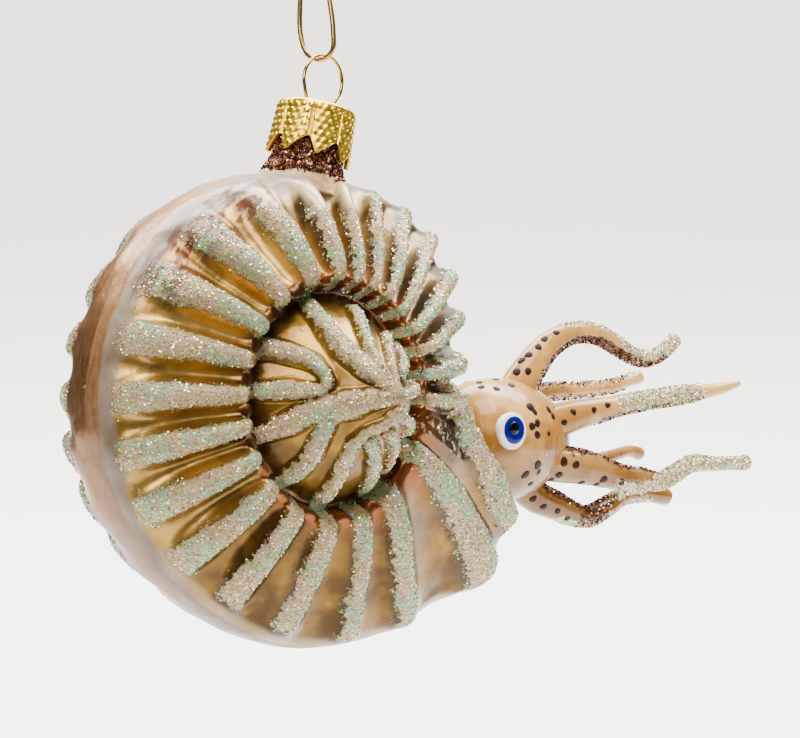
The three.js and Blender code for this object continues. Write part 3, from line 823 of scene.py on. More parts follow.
def section(R, rim):
    """Half section keel to beak: radii, half thicknesses and rib shares, stacked on axis 0."""
    w, one, zero = R - SEAM_R, np.ones_like(R), np.zeros_like(R)
    radius = [
        R, R - 0.1, R - 0.9, R - 2.9, SEAM_R + 0.58 * w, SEAM_R + 0.27 * w, SEAM_R + 1.9 * one,
        (SEAM_R - 0.4) * one, (SEAM_R - 2.4) * one, SEAM_R * 0.56 * one, SEAM_R * 0.26 * one, zero,
    ]
    half = [0, 2.6, 5.0, 7.8, 12.0, 16.0, 17.2, 14.4, 16.8, 23.4, 28.9, BEAK_Y - 0.5]
    ribs = [zero, zero, 0.3 * rim, rim, 1.1 * one, 0.95 * one, 0.45 * one] + [zero] * 5
    folds = [0] * 7 + [0.4, 0.9, 1, 0.8, 0.3]
    return (
        np.stack(radius), np.stack([h * one for h in half]),
        np.stack(ribs), np.stack([f * one for f in folds]),
    )


def ridge_height(lines, x, z):
    """Height of drawn ridges, 0 to 1, at a place from the coil's centre."""
    top = np.zeros_like(x)
    for line in lines:
        for (ax, az, aw), (bx, bz, bw) in zip(line, line[1:]):
            dx, dz = bx - ax, bz - az
            t = np.clip(((x - ax) * dx + (z - az) * dz) / (dx * dx + dz * dz), 0, 1)
            away = np.hypot(x - ax - t * dx, z - az - t * dz) / (aw + (bw - aw) * t)
            top = np.maximum(top, 1 - smoothstep(0.35, 1.55, away))
    return top


def crest_bias(degrees):
    """How much wider the crests are than the valleys, round the whorl."""
    keys = [(-22, 0.1), (20, -0.1), (60, -0.25), (90, 0.0), (125, 0.25), (180, 0.3), (225, 0.15),
            (248, -0.1), (275, -0.4), (310, -0.4), (338, 0.0)]
    return smooth_keys(keys, wrapped(degrees))


def half_shell(settings):
    """Points and zone values of one flank, rows from the keel to just before the beak."""
    flat_r, flat_y, _, _ = section(np.array([36.0]), np.array([1.0]))
    run = np.hypot(np.diff(flat_r[:, 0]), np.diff(flat_y[:, 0]))
    run = np.concatenate([[0], np.cumsum(run)])
    level = np.interp(np.linspace(0, run[-1], settings.rows), run, np.arange(12.0))[:-1, None]
    q = np.arange(len(RIBS) * settings.columns)[None, :] / settings.columns
    s = np.minimum(level / 7, 1)
    degrees = rib_angle(q + 0 * level, s + 0 * q)
    angle = np.radians(degrees)
    rim_share = 0.74 + 0.3 * np.cos(angle + math.radians(10))
    radii, halves, ribs, folds = section(smooth_keys(OUTLINE, wrapped(degrees)), rim_share)

    i = np.floor(level).astype(int) + 0 * q.astype(int)
    f = level - np.floor(level)

    def along(stack, at_start, at_end):
        padded = np.concatenate([at_start * stack[1:2], stack, at_end * stack[-2:-1]])
        p = [np.take_along_axis(padded, (i + d)[None], 0)[0] for d in range(4)]
        return 0.5 * (
            2 * p[1] + (p[2] - p[0]) * f + (2 * p[0] - 5 * p[1] + 4 * p[2] - p[3]) * f**2
            + (3 * p[1] - p[0] - 3 * p[2] + p[3]) * f**3
        )

    r, y = along(radii, 1, -1), along(halves, -1, 1)
    rib, fold = along(ribs, 1, 1), along(folds, 1, 1)
    flat = np.stack([COIL[0] + r * np.cos(angle), y, COIL[2] + r * np.sin(angle)], -1)
    wide = np.concatenate([flat[:, -1:], flat, flat[:, :1]], 1)
    normal = unit(np.cross(np.gradient(wide, axis=1)[:, 1:-1], np.gradient(flat, axis=0)))
    outward = flat - COIL
    normal *= np.sign((normal * outward).sum(-1, keepdims=True))

    # Broad crests at the keel that taper towards the seam, and flat-floored valleys.
    bias = crest_bias(degrees) * (1 - 1.55 * smoothstep(0.4, 1.05, s))
    wave = np.tanh(1.35 * (np.cos(TAU * q) + bias)) / math.tanh(1.35)
    # The rib that runs into the lip ends at it, and the channel under the lip is smooth.
    merged = 1 - smoothstep(0.6, 0.4, np.abs(q - 1.0)) * smoothstep(4.6, 3.8, level)
    wave = wave * rib_share(q + 0 * level) * merged
    bumps = ridge_height(FOLDS, r * np.cos(angle), r * np.sin(angle))
    lip = ridge_height(LIPS, r * np.cos(angle), r * np.sin(angle)) * smoothstep(7.2, 6.4, level)
    lift = settings.rib_height / MM * rib * wave + settings.fold_height / MM * fold * (bumps - 0.4)
    lift = lift + settings.rib_height / MM * 1.1 * lip
    lift = lift + settings.unevenness / MM * (ripple(flat, 11, 1.0) + 0.5 * ripple(flat, 4, 2.0))
    return flat + normal * lift[..., None], dict(
        level=level + 0 * q, wave=wave, bumps=bumps, lip=lip, degrees=degrees
    )


def shell_surface(settings, side=None):
    """The whole shell with its paint zones as values; a side limits where the glitter lies."""
    points, zone = half_shell(settings)
    level, wave, bumps, lip = zone["level"], zone["wave"], zone["bumps"], zone["lip"]
    turn = wrapped(zone["degrees"])
    ragged = 0.6 * ripple(points, 4.5, 3.0) + 0.35 * ripple(points, 1.6, 5.0)
    # The glue stops short of the rim along the bottom and reaches the strip on the left.
    stop = smooth_keys(
        [(-22, 2.4), (30, 2.2), (62, 2.8), (90, 3.4), (120, 2.6), (150, 2.1), (200, 2.1), (225, 2.2),
         (255, 2.6), (320, 2.6), (338, 2.4)], turn
    )
    outer = np.minimum(wave - 0.15, 1.2 * (level - stop))
    # On the left side the crests end bare at the seam.
    left = smoothstep(140, 160, turn) * smoothstep(235, 215, turn)
    outer = np.minimum(outer, 1.6 * (7.0 - 0.9 * left + 0.5 * ragged * left - level))
    outer = np.maximum(outer, np.minimum(1.4 * (lip - 0.35), 1.0))
    outer = np.minimum(outer, 2.0 * (7.0 - level))
    inner = np.minimum(bumps - 0.45, 1.6 * (level - 6.7))
    # Under the cap the crests are bare cream lacquer.
    bare = smoothstep(4.4, 3.2, level + 0.5 * ragged) * smoothstep(0.0, 0.5, wave + 0.3 * ragged)
    bare = np.maximum(bare, 0.85 * smoothstep(3.5, 2.8, level + 0.4 * ragged))
    bare = bare * smoothstep(60, 72, turn) * smoothstep(118, 106, turn)
    seam_end = left * smoothstep(6.0, 6.3, level) * smoothstep(7.1, 6.9, level) * wave.clip(0, 1)
    outer = outer - 0.9 * bare
    beak = smoothstep(10.75, 11.0, level + 0.2 * ragged)
    cover = np.clip(np.maximum(outer, inner) - beak + 0.2 * ragged, -1, 1)
    half_width = np.abs(points[..., 1])
    values = dict(
        cover=cover,
        frost=smoothstep(-0.1, 0.25, cover + 0.35 * ragged),
        clump=np.maximum(
            smoothstep(-0.15, 0.4, ripple(points, 7, 8.0) + 0.4 * ripple(points, 2, 6.0)),
            np.exp(-((level - 7.0) / 0.5) ** 2),
        ),
        band=smoothstep(3.0, 2.5, half_width + 0.3 * ragged) * (level < 3),
        wide_band=smoothstep(6.2, 5.4, half_width + 0.4 * ragged) * (level < 3.4),
        strip=smoothstep(0.3, -0.1, level - smooth_keys(
            [(-22, 1.4), (40, 1.7), (90, 2.6), (140, 2.3), (200, 2.0), (230, 1.5), (255, 1.0),
             (338, 0.9)], turn
        ) + 0.35 * ragged),
        depth=np.where(level < 7.3, (1 - wave) / 2, 1 - bumps),
        rim=smoothstep(3.0, 1.6, level) * smoothstep(190, 235, turn) * smoothstep(345, 335, turn)
        + 0.4 * smoothstep(4.0, 2.0, level) * smoothstep(10, -12, turn),
        # Painted shade in the crease of the seam.
        groove=np.exp(-((level - 7.25 + 0.3 * ragged) / (0.45 + 0.2 * left)) ** 2) * (1 - bumps)
        * np.maximum(smoothstep(-0.6, 0.3, ragged + 0.2), left),
        bare=np.maximum(np.maximum(bare, beak), 0.7 * seam_end),
        inward=smoothstep(3.6, 6.6, level) * (level < 7.3),
        # Painted shade: the valleys are darkened all round but the left side, where they would mirror
        # the bright floor and wall.
        low=np.minimum(smoothstep(122, 95, turn) + smoothstep(205, 240, turn), 1) * (level < 7.2),
        inside=1.0 * (level > 7.2),
        # Painted shade on the lower left, away from the light, for the strip and the keel band.
        under=smoothstep(140, 205, turn) * smoothstep(310, 280, turn),
        brushed=smoothstep(92, 106, turn) * smoothstep(158, 146, turn)
        * smoothstep(1.3, 1.9, level) * smoothstep(3.9, 3.2, level),
        along=turn * 0.16,
        across=level * 2.6,
    )
    near, far = points.copy(), points.copy()
    near[..., 1] *= -1
    rings = np.concatenate([far[:0:-1], near])
    both = {key: np.concatenate([v[:0:-1], v]) for key, v in values.items()}
    # The copper band lies over the keel, wider on the far side.
    far_side = rings[..., 1] > 0
    both["band"] = np.where(far_side, both.pop("wide_band"), both["band"])
    both["strip"] = both["strip"] * (1 - smoothstep(0.0, 1.0, both["band"]) * far_side)
    if side is not None:
        both["frost"] = both["frost"] * (rings[..., 1] * side > 0)
    apex = BEAK_Y - 0.3
    return loft((COIL[0], apex, COIL[2]), rings, (COIL[0], -apex, COIL[2]), **both)


# ------------------------------------------------------------------ glitter


def glitter_tree():
    """Node group that scatters tilted hexagonal flakes over a mesh by a named density value."""
    name = "scatter_flakes"
    if name in bpy.data.node_groups:
        return bpy.data.node_groups[name]
    tree = bpy.data.node_groups.new(name, "GeometryNodeTree")
    sockets = tree.interface
    sockets.new_socket("Geometry", in_out="INPUT", socket_type="NodeSocketGeometry")
    for label, kind, value in (
        ("Density", "NodeSocketFloat", 5e6), ("Flake radius", "NodeSocketFloat", 0.0002),
        ("Tilt", "NodeSocketFloat", 0.6), ("Lift", "NodeSocketFloat", 0.00006),
        ("Seed", "NodeSocketInt", 0), ("Where", "NodeSocketString", "frost"),
        ("Foil", "NodeSocketMaterial", None),
    ):
        made = sockets.new_socket(label, in_out="INPUT", socket_type=kind)
        if value is not None:
            made.default_value = value
    sockets.new_socket("Geometry", in_out="OUTPUT", socket_type="NodeSocketGeometry")
    given = add_node(tree, "NodeGroupInput").node.outputs

    amount = add_node(tree, "GeometryNodeInputNamedAttribute", {"Name": given["Where"]},
                      output="Attribute", data_type="FLOAT")
    density = add_node(tree, "ShaderNodeMath", {0: given["Density"], 1: amount},
                       operation="MULTIPLY")
    points = add_node(
        tree, "GeometryNodeDistributePointsOnFaces",
        {"Mesh": given["Geometry"], "Density": density, "Seed": given["Seed"]},
        distribute_method="RANDOM",
    ).node.outputs
    raised = add_node(tree, "ShaderNodeVectorMath", {0: points["Normal"], "Scale": given["Lift"]},
                      operation="SCALE")
    placed = add_node(tree, "GeometryNodeSetPosition",
                      {"Geometry": points["Points"], "Offset": raised})
    # Each flake leans up to the tilt either way and is turned at random.
    least = add_node(tree, "ShaderNodeMath", {0: given["Tilt"], 1: -1.0}, operation="MULTIPLY")
    low = add_node(tree, "ShaderNodeCombineXYZ", {"X": least, "Y": least})
    high = add_node(tree, "ShaderNodeCombineXYZ", {"X": given["Tilt"], "Y": given["Tilt"], "Z": TAU})
    lean = add_node(tree, "FunctionNodeRandomValue",
                    {"Min": low, "Max": high, "Seed": given["Seed"]}, data_type="FLOAT_VECTOR")
    turn = add_node(tree, "FunctionNodeEulerToRotation", {"Euler": lean})
    facing = add_node(tree, "FunctionNodeRotateRotation",
                      {"Rotation": points["Rotation"], "Rotate By": turn}, rotation_space="LOCAL")
    flake = add_node(tree, "GeometryNodeMeshCircle", {"Vertices": 6, "Radius": 1.0},
                     output="Mesh", fill_type="NGON")
    small = add_node(tree, "ShaderNodeMath", {0: given["Flake radius"], 1: 0.5},
                     operation="MULTIPLY")
    size = add_node(tree, "FunctionNodeRandomValue",
                    {2: small, 3: given["Flake radius"], "Seed": given["Seed"]}, output=1,
                    data_type="FLOAT")
    flakes = add_node(tree, "GeometryNodeInstanceOnPoints", {
        "Points": placed, "Instance": flake, "Rotation": facing, "Scale": size,
    })
    # A flake's tint is part chance, from a seed of its own, and part the clump it lies in.
    other = add_node(tree, "ShaderNodeMath", {0: given["Seed"], 1: 31.0}, operation="ADD")
    chance = add_node(tree, "FunctionNodeRandomValue", {"Seed": other}, output=1,
                      data_type="FLOAT")
    clump = add_node(tree, "GeometryNodeInputNamedAttribute", {"Name": "clump"},
                     output="Attribute", data_type="FLOAT")
    spread = add_node(tree, "ShaderNodeMath", {0: chance, 1: 0.62}, operation="MULTIPLY")
    tint = add_node(tree, "ShaderNodeMath", {0: clump, 1: 0.37, 2: spread},
                    operation="MULTIPLY_ADD")
    tinted = add_node(tree, "GeometryNodeStoreNamedAttribute",
                      {"Name": "tint", "Geometry": flakes, "Value": tint},
                      data_type="FLOAT", domain="INSTANCE")
    real = add_node(tree, "GeometryNodeRealizeInstances", {"Geometry": tinted})
    foiled = add_node(tree, "GeometryNodeSetMaterial",
                      {"Geometry": real, "Material": given["Foil"]})
    add_node(tree, "NodeGroupOutput", {"Geometry": foiled})
    return tree


def scatter(name, surface, where, foil, density, radius, tilt, seed, lift=0.06):
    """A plain mesh of flakes over a surface, thick where the named value is high."""
    carrier = make_object(name + "_carrier", surface, foil)
    tree = glitter_tree()
    modifier = carrier.modifiers.new("flakes", "NODES")
    modifier.node_group = tree
    given = {
        "Density": density * 1e6, "Flake radius": radius, "Tilt": tilt, "Lift": lift * MM,
        "Seed": seed, "Where": where, "Foil": foil,
    }
    for item in tree.interface.items_tree:
        if item.in_out == "INPUT" and item.name in given:
            modifier[item.identifier] = given[item.name]
    carrier.update_tag()
    bpy.context.view_layer.update()
    graph = bpy.context.evaluated_depsgraph_get()
    mesh = bpy.data.meshes.new_from_object(carrier.evaluated_get(graph), depsgraph=graph)
    base = carrier.data
    bpy.data.objects.remove(carrier)
    bpy.data.meshes.remove(base)
    mesh.name = name
    if not len(mesh.polygons):
        raise RuntimeError(name + " scattered no flakes")
    print(name, len(mesh.polygons), "flakes")
    made = bpy.data.objects.new(name, mesh)
    bpy.context.scene.collection.objects.link(made)
    return made


PEARL_TINTS = [
    (0.12, "#F4E6C4"), (0.12, "#B09468"), (0.10, "#D0A088"), (0.08, "#DCCB8C"), (0.08, "#8C7650"),
    (0.10, "#B4D860"), (0.06, "#BC9CCC"), (0.13, "#6CE080"), (0.12, "#34C890"), (0.09, "#70C0C4"),
]
BROWN_TINTS = [
    (0.20, "#4A2416"), (0.12, "#6E3A22"), (0.10, "#9A5C34"), (0.10, "#331710"), (0.06, "#D9A28C"),
    (0.10, "#7A4630"), (0.10, "#B98A6A"), (0.12, "#52301E"), (0.10, "#EAD8C8"),
]


# ------------------------------------------------------------------ head, arms and eyes


def head_points(x, angle, lift=0.0):
    """The head's surface at a place along it and an angle from the near flank upwards."""
    half_height = np.maximum(smooth_keys(HEAD[:, :2], x), 0)
    half_width = np.maximum(smooth_keys(HEAD[:, [0, 2]], x), 0)
    out = np.stack([0 * x, -half_width * np.cos(angle), half_height * np.sin(angle)], -1)
    centre = np.stack([x + 0 * angle, 0 * x + 0 * angle, HEAD_Z + 0 * x + 0 * angle], -1)
    flat = centre + out
    lump = 0.10 * ripple(flat, 8, 4.0)
    return flat + unit(out) * (lump + lift)[..., None]


def head_surface():
    inner = 0.5 - 0.5 * np.cos(np.linspace(0.06, math.pi - 0.06, 72))
    x = HEAD[0, 0] + (HEAD[-1, 0] - HEAD[0, 0]) * inner
    angle = np.arange(72) * TAU / 72
    rings = head_points(x[:, None] + 0 * angle, angle[None, :] + 0 * x[:, None], np.zeros((72, 72)))
    return loft((HEAD[0, 0], 0, HEAD_Z), rings, (HEAD[-1, 0], 0, HEAD_Z))


def arm_frames(name, steps):
    """Centres, radii and the near-side and upward directions along an arm."""
    run = smooth_path(ARMS[name], steps)
    centre, radius = run[:, :3], run[:, 3]
    tangent = unit(np.gradient(centre, axis=0))
    near = np.array([0.0, -1.0, 0.0])
    side = unit(near - tangent * (tangent @ near)[:, None])
    up = np.cross(tangent, side)
    up *= np.sign(up[:, 2:3])
    length = np.linalg.norm(np.diff(centre, axis=0), axis=1).sum()
    return centre, radius, tangent, side, up, length


def arm_points(name, share, angle, lift=0.0):
    """The arm's surface at a share of its length and an angle from the near side upwards."""
    centre, radius, tangent, side, up, _ = arm_frames(name, 240)
    place = np.clip(share, 0, 1) * 239

    def at(rows):
        low = np.clip(np.floor(place).astype(int), 0, 238)
        f = place - low
        if rows.ndim == 2:
            f = f[..., None]
        return rows[low] * (1 - f) + rows[low + 1] * f

    out = unit(np.cos(angle)[..., None] * at(side) + np.sin(angle)[..., None] * at(up))
    middle = at(centre)
    lump = 0.05 * ripple(middle + out * 1.5, 5, 1.5)
    return middle + out * (at(radius) + lump + lift)[..., None]


def arm_surface(name, settings):
    sides, steps = settings.sides, settings.steps
    share = np.linspace(0, 1, steps)
    angle = np.arange(sides) * TAU / sides
    s, a = np.meshgrid(share, angle, indexing="ij")
    rings = arm_points(name, s, a, np.zeros_like(s))
    centre, radius, tangent, *_ = arm_frames(name, steps)
    caps = []
    for end, sign in ((0, -1), (-1, 1)):
        offset = rings[end] - centre[end]
        caps.append([
            centre[end] + math.cos(t) * offset
            + sign * 0.95 * math.sin(t) * radius[end] * tangent[end]
            for t in np.radians([22, 45, 68])
        ])
    ends = [centre[e] + k * 0.95 * radius[e] * tangent[e] for e, k in ((0, -1), (-1, 1))]
    rings = np.concatenate([caps[0][::-1], rings, caps[1]])
    s = np.concatenate([np.zeros((3, sides)), s, np.ones((3, sides))])
    a = np.broadcast_to(angle, s.shape)
    ragged = 0.04 * ripple(rings, 2.0, 2.0)
    values = {"pearl": np.zeros_like(s), "brown": np.zeros_like(s)}
    for kind, start, stop, faces, strength in ARM_GLITTER[name]:
        cover = smoothstep(start - 0.03, start + 0.03, s + ragged)
        cover = cover * smoothstep(stop + 0.03, stop - 0.03, s + ragged)
        if faces is not None:
            aim = np.cos(a - math.radians(faces))
            cover = cover * smoothstep(0.4, 0.8, aim + 5 * ragged)
        values[kind] = np.maximum(values[kind], cover * strength)
    values["clump"] = smoothstep(0.3, 0.9, ripple(rings, 5, 3.0))
    return loft(ends[0], rings, ends[1], **values)


def dot_surface(place, x, angle, radius, x_per_mm, angle_per_mm, number):
    """One drop of paint: a low dome that follows the surface under it."""
    turns = np.arange(12) * TAU / 12
    wobble = 1 + 0.10 * np.sin(turns * 2 + number * 1.7) + 0.06 * np.sin(turns * 3 + number)
    rings = []
    for share, lift in ((1.0, -0.05), (1.0, 0.03), (0.7, 0.08), (0.35, 0.11)):
        dx = radius * share * wobble * np.cos(turns) * x_per_mm
        da = radius * share * wobble * np.sin(turns) * angle_per_mm
        rings.append(place(x + dx, angle + da, np.full(12, lift)))
    rings = np.array(rings)
    centre = place(np.array([x]), np.array([angle]), np.array([0.12]))[0]
    under = rings[0].mean(0)
    return loft(under, rings, centre)


def head_dots(dots):
    made = []
    for number, (x, degrees, radius) in enumerate(dots):
        radius = radius * 1.15
        for side in (1, -1):
            angle = math.radians(degrees if side == 1 else 180 - degrees)
            size = float(smooth_keys(HEAD[:, :2], np.array([x]))[0])
            made.append(dot_surface(head_points, x, angle, radius, 1.0, 1 / size, number * side))
    return made


def arm_dots(name):
    made = []
    *_, length_mm = arm_frames(name, 240)
    radius_at = np.array(ARMS[name])[:, 3]
    for number, (share, degrees, radius) in enumerate(ARM_DOTS[name]):
        local = float(np.interp(share, np.linspace(0, 1, len(radius_at)), radius_at))

        def place(s, a, lift):
            return arm_points(name, s, a, lift)

        made.append(dot_surface(
            place, share, math.radians(degrees), radius * 1.12, 1 / length_mm, 1 / local, number + 3
        ))
    return made


def drop_surface(profile, centre, side):
    """A round drop on the flank: profile of radius and height over the flank, rim to top."""
    turns = np.arange(48) * TAU / 48
    rings = [
        np.stack([
            centre[0] + r * np.cos(turns), np.full(48, side * (centre[1] - h)),
            centre[2] + r * np.sin(turns),
        ], -1)
        for r, h in profile
    ]
    ends = [(centre[0], side * (centre[1] - profile[k][1]), centre[2]) for k in (0, -1)]
    return loft(ends[0], rings, ends[1])


# ------------------------------------------------------------------ cap and wires


def on_neck(points):
    """From the neck's own axes, with +Z up its axis, to the model's frame."""
    c, s = math.cos(NECK_LEAN), math.sin(NECK_LEAN)
    turn = np.array([[c, 0, s], [0, 1, 0], [-s, 0, c]])
    return np.asarray(points, float) @ turn.T + NECK_FOOT


def neck_surface():
    turns = np.arange(72) * TAU / 72
    fine = smooth_path([(r, 0, h) for r, h in NECK_PROFILE], 30)
    rings = np.array([
        np.stack([r * np.cos(turns), r * np.sin(turns), np.full(72, h)], -1) for r, _, h in fine
    ])
    # The glitter's lower edge is uneven, a millimetre or two under the petals' tips.
    edge = -1.7 + 0.35 * np.sin(3 * turns + 1) + 0.2 * np.sin(7 * turns)
    cover = smoothstep(edge - 0.35, edge + 0.35, fine[:, 2:])
    ends = on_neck([(0, 0, fine[0, 2]), (0, 0, fine[-1, 2])])
    return loft(ends[0], on_neck(rings), ends[1], brown=cover, clump=0.5 * cover)


def cap_surface(settings):
    """The crown cap: embossed sheet with petals, creased between them, open underneath."""
    per_petal = 30
    share = (np.arange(CAP_PETALS * per_petal) / per_petal) % 1
    angle = np.arange(CAP_PETALS * per_petal) * TAU / (CAP_PETALS * per_petal)
    edge = np.interp(share, *np.array(PETAL_EDGE).T)
    slit = np.exp(-((np.minimum(share, 1 - share) / 0.035) ** 2))
    pitch, height = settings.bead_pitch / MM, settings.bead_height / MM

    def bead(around, up):
        row = np.floor(up / (pitch * 0.86))
        v = up - (row + 0.5) * pitch * 0.86
        u = np.mod(around / pitch + 0.5 * np.mod(row, 2), 1) - 0.5
        return np.exp(-((u * pitch) ** 2 + v**2) / (0.27 * pitch) ** 2)

    t = np.linspace(0, 1, 56)[:, None]
    h = edge + (CAP_TOP - 0.55 - edge) * t
    r = CAP_R_RIM + (CAP_R_TOP - CAP_R_RIM) * np.minimum(h / CAP_TOP, 1)
    # Each petal is slightly proud in its middle and its tip springs outwards a little.
    r = r + 0.12 * np.sin(math.pi * share) + 0.18 * (1 - t) ** 3 * np.sin(math.pi * share)
    dents = slit * smoothstep(0.02, 0.2, 1 - t) * 0.42
    r = r + height * bead(angle * CAP_R_RIM, h) * (1 - slit) * smoothstep(0.0, 0.04, t) - dents
    outer = np.stack([r * np.cos(angle), r * np.sin(angle), h], -1)
    shoulder, top = [], []
    for a in np.radians([30, 60, 90]):
        rr = (CAP_R_TOP - 0.55) + 0.55 * math.cos(a) + 0.12 * np.sin(math.pi * share) * math.cos(a)
        hh = np.full(len(angle), CAP_TOP - 0.55 + 0.55 * math.sin(a))
        shoulder.append(np.stack([rr * np.cos(angle), rr * np.sin(angle), hh], -1))
    for k in np.linspace(0.95, 0.08, 22):
        rr = np.full(len(angle), (CAP_R_TOP - 0.55) * k)
        x, y = rr * np.cos(angle), rr * np.sin(angle)
        hh = CAP_TOP + height * 0.9 * bead(x + 20, y + 20)
        top.append(np.stack([x, y, hh], -1))
    inner = []
    for tt in (0.0, 0.5, 1.0):
        hh = edge + (CAP_TOP - 0.95 - edge) * tt
        rr = np.full(len(angle), CAP_R_RIM + (CAP_R_TOP - CAP_R_RIM) * tt - CAP_SHEET - 0.15)
        inner.append(np.stack([rr * np.cos(angle), rr * np.sin(angle), hh], -1))
    rings = np.concatenate([np.array(inner)[::-1], outer, np.array(shoulder), np.array(top)])
    ends = on_neck([(0, 0, CAP_TOP - 0.95), (0, 0, CAP_TOP)])
    return loft(ends[0], on_neck(rings), ends[1])


def ring_path():
    flat = [(-s, h) for s, h in RING_LEG]
    for degrees in range(215, -36, -25):
        a = math.radians(degrees)
        flat.append((RING_R * math.cos(a), RING_UP + RING_R * math.sin(a)))
    flat += RING_LEG[::-1]
    return smooth_path(on_neck([(s, 0, CAP_TOP + h) for s, h in flat]), 220)


def hook_path(wire):
    flat = list(HOOK_TIP)
    for degrees in range(180, -1, -30):
        a = math.radians(degrees)
        flat.append((HOOK_BEND_R * math.cos(a), wire - HOOK_BEND_R + HOOK_BEND_R * math.sin(a)))
    flat += HOOK_SHANK
    return smooth_path([(0, y, z) for y, z in flat], 420)


# ------------------------------------------------------------------ operators


def settings_of(context):
    return context.scene.ornament


class ORNAMENT_OT_shell(bpy.types.Operator):
    """Builds the ribbed glass shell and its neck"""

    bl_idname = "ornament.shell"
    bl_label = "Shell"

    def execute(self, context):
        s = settings_of(context).shell
        lacquer = silvered_lacquer(s)
        finish_piece(
            make_object("shell_skin", shell_surface(s), lacquer), "shell_glass", "glass_shell"
        )
        neck = neck_surface()
        glue = neck_lacquer()
        finish_piece(make_object("shell_neck", neck, glue), "shell_glass", "glass_shell")
        return {"FINISHED"}


class ORNAMENT_OT_glitter(bpy.types.Operator):
    """Scatters glitter over the crests, the neck and the arms"""

    bl_idname = "ornament.glitter"
    bl_label = "Glitter"

    def execute(self, context):
        all_settings = settings_of(context)
        s = all_settings.glitter
        pearl = glitter_foil("iridescent_foil", PEARL_TINTS, 0.18, 0.5)
        brown = glitter_foil("copper_foil", BROWN_TINTS, 0.25, 0.85)
        for name, side in (("near", -1), ("far", 1)):
            shell = shell_surface(all_settings.shell, side)
            piece = scatter(
                "shell_glitter_" + name, shell, "frost", pearl, s.per_mm2, s.flake, s.tilt, s.seed
            )
            finish_piece(piece, "shell_glass", "glass_shell")
        neck = scatter(
            "neck_glitter", neck_surface(), "brown", brown, 16, 0.00027, 0.9, s.seed + 1, 0.12
        )
        finish_piece(neck, "shell_glass", "glass_shell")
        arms = joined([arm_surface(name, all_settings.body) for name in ARMS])
        piece = scatter(
            "arm_glitter_pearl", arms, "pearl", pearl, 18, 0.00019, 0.9, s.seed + 2, 0.1
        )
        finish_piece(piece, "arm_glass")
        piece = scatter(
            "arm_glitter_brown", arms, "brown", brown, 10, 0.00024, 1.1, s.seed + 3, 0.14
        )
        finish_piece(piece, "arm_glass")
        return {"FINISHED"}


class ORNAMENT_OT_head(bpy.types.Operator):
    """Builds the head with its painted dots"""

    bl_idname = "ornament.head"
    bl_label = "Head"

    def execute(self, context):
        s = settings_of(context).body
        skin = pearl_lacquer(s, "head_pearl_lacquer", 49)
        finish_piece(make_object("head_skin", head_surface(), skin), "head_glass", "head")
        dots = make_object("head_dots", joined(head_dots(HEAD_DOTS)), dot_enamel(s))
        finish_piece(dots, "head_glass", "head")
        amber = make_object(
            "head_amber_dots", joined(head_dots(HEAD_AMBER_DOTS)),
            enamel("amber_enamel", linear("#B9761F")),
        )
        finish_piece(amber, "head_glass", "head")
        return {"FINISHED"}


class ORNAMENT_OT_arms(bpy.types.Operator):
    """Pulls the six glass arms and paints their dots"""

    bl_idname = "ornament.arms"
    bl_label = "Arms"

    def execute(self, context):
        s = settings_of(context).body
        skin = pearl_lacquer(s, "arm_pearl_lacquer", 47)
        dot_paint = dot_enamel(s)
        for name in ARMS:
            arm = make_object(name + "_skin", arm_surface(name, s), skin)
            finish_piece(arm, "arm_glass", name)
            dots = make_object(name + "_dots", joined(arm_dots(name)), dot_paint)
            finish_piece(dots, "arm_glass", name)
        return {"FINISHED"}


class ORNAMENT_OT_eyes(bpy.types.Operator):
    """Drops the enamel eyes: white, blue iris and black pupil"""

    bl_idname = "ornament.eyes"
    bl_label = "Eyes"

    def execute(self, context):
        s = settings_of(context).eye
        r = s.radius / MM
        layers = (
            ("white", rgba(s.white), [
                (r * 0.9, -1.4), (r, -0.5), (r, 0.0), (r * 0.98, 0.14), (r * 0.93, 0.27),
                (r * 0.82, 0.4), (r * 0.6, 0.5), (r * 0.3, 0.55),
            ]),
            ("iris", rgba(s.iris), [
                (r * 0.66, 0.3), (r * 0.75, 0.42), (r * 0.74, 0.52), (r * 0.68, 0.6),
                (r * 0.4, 0.66), (r * 0.2, 0.68),
            ]),
            ("pupil", rgba(s.pupil), [
                (r * 0.3, 0.55), (r * 0.36, 0.66), (r * 0.35, 0.78), (r * 0.3, 0.92),
                (r * 0.2, 1.03), (r * 0.1, 1.08),
            ]),
        )
        for node, side in (("eye_near", 1), ("eye_far", -1)):
            for key, colour, profile in layers:
                shift = np.array(SHIFTS[key])
                coat = bpy.data.materials.get("eye_" + key) or enamel(
                    "eye_" + key, colour, 0.1, 0.0, 0.4 if key == "white" else 0.15
                )
                drop = make_object(node + "_" + key, drop_surface(profile, EYE + shift, side), coat)
                finish_piece(drop, "eye_enamel", node)
        return {"FINISHED"}


class ORNAMENT_OT_cap(bpy.types.Operator):
    """Stamps the crown cap"""

    bl_idname = "ornament.cap"
    bl_label = "Cap"

    def execute(self, context):
        s = settings_of(context).metal
        gold = bright_metal("bright_gold_sheet", s.gold, 0.31)
        finish_piece(make_object("cap_sheet", cap_surface(s), gold), "cap_metal", "cap")
        return {"FINISHED"}


class ORNAMENT_OT_wires(bpy.types.Operator):
    """Bends the ring and the hook"""

    bl_idname = "ornament.wires"
    bl_label = "Ring and hook"

    def execute(self, context):
        s = settings_of(context).metal
        ring = make_object(
            "ring_wire", sweep(ring_path(), s.ring_wire / MM, 14),
            bright_metal("gold_spring_wire", s.wire, 0.22, 2.0),
        )
        finish_piece(ring, "ring_wire", "ring")
        wire = s.hook_wire / MM
        hook = make_object(
            "hook_wire", sweep(hook_path(wire), wire, 14),
            bright_metal("bronzed_hook_wire", s.bronze, 0.28, 3.0),
        )
        finish_piece(hook, "hook_wire", "hook")
        return {"FINISHED"}


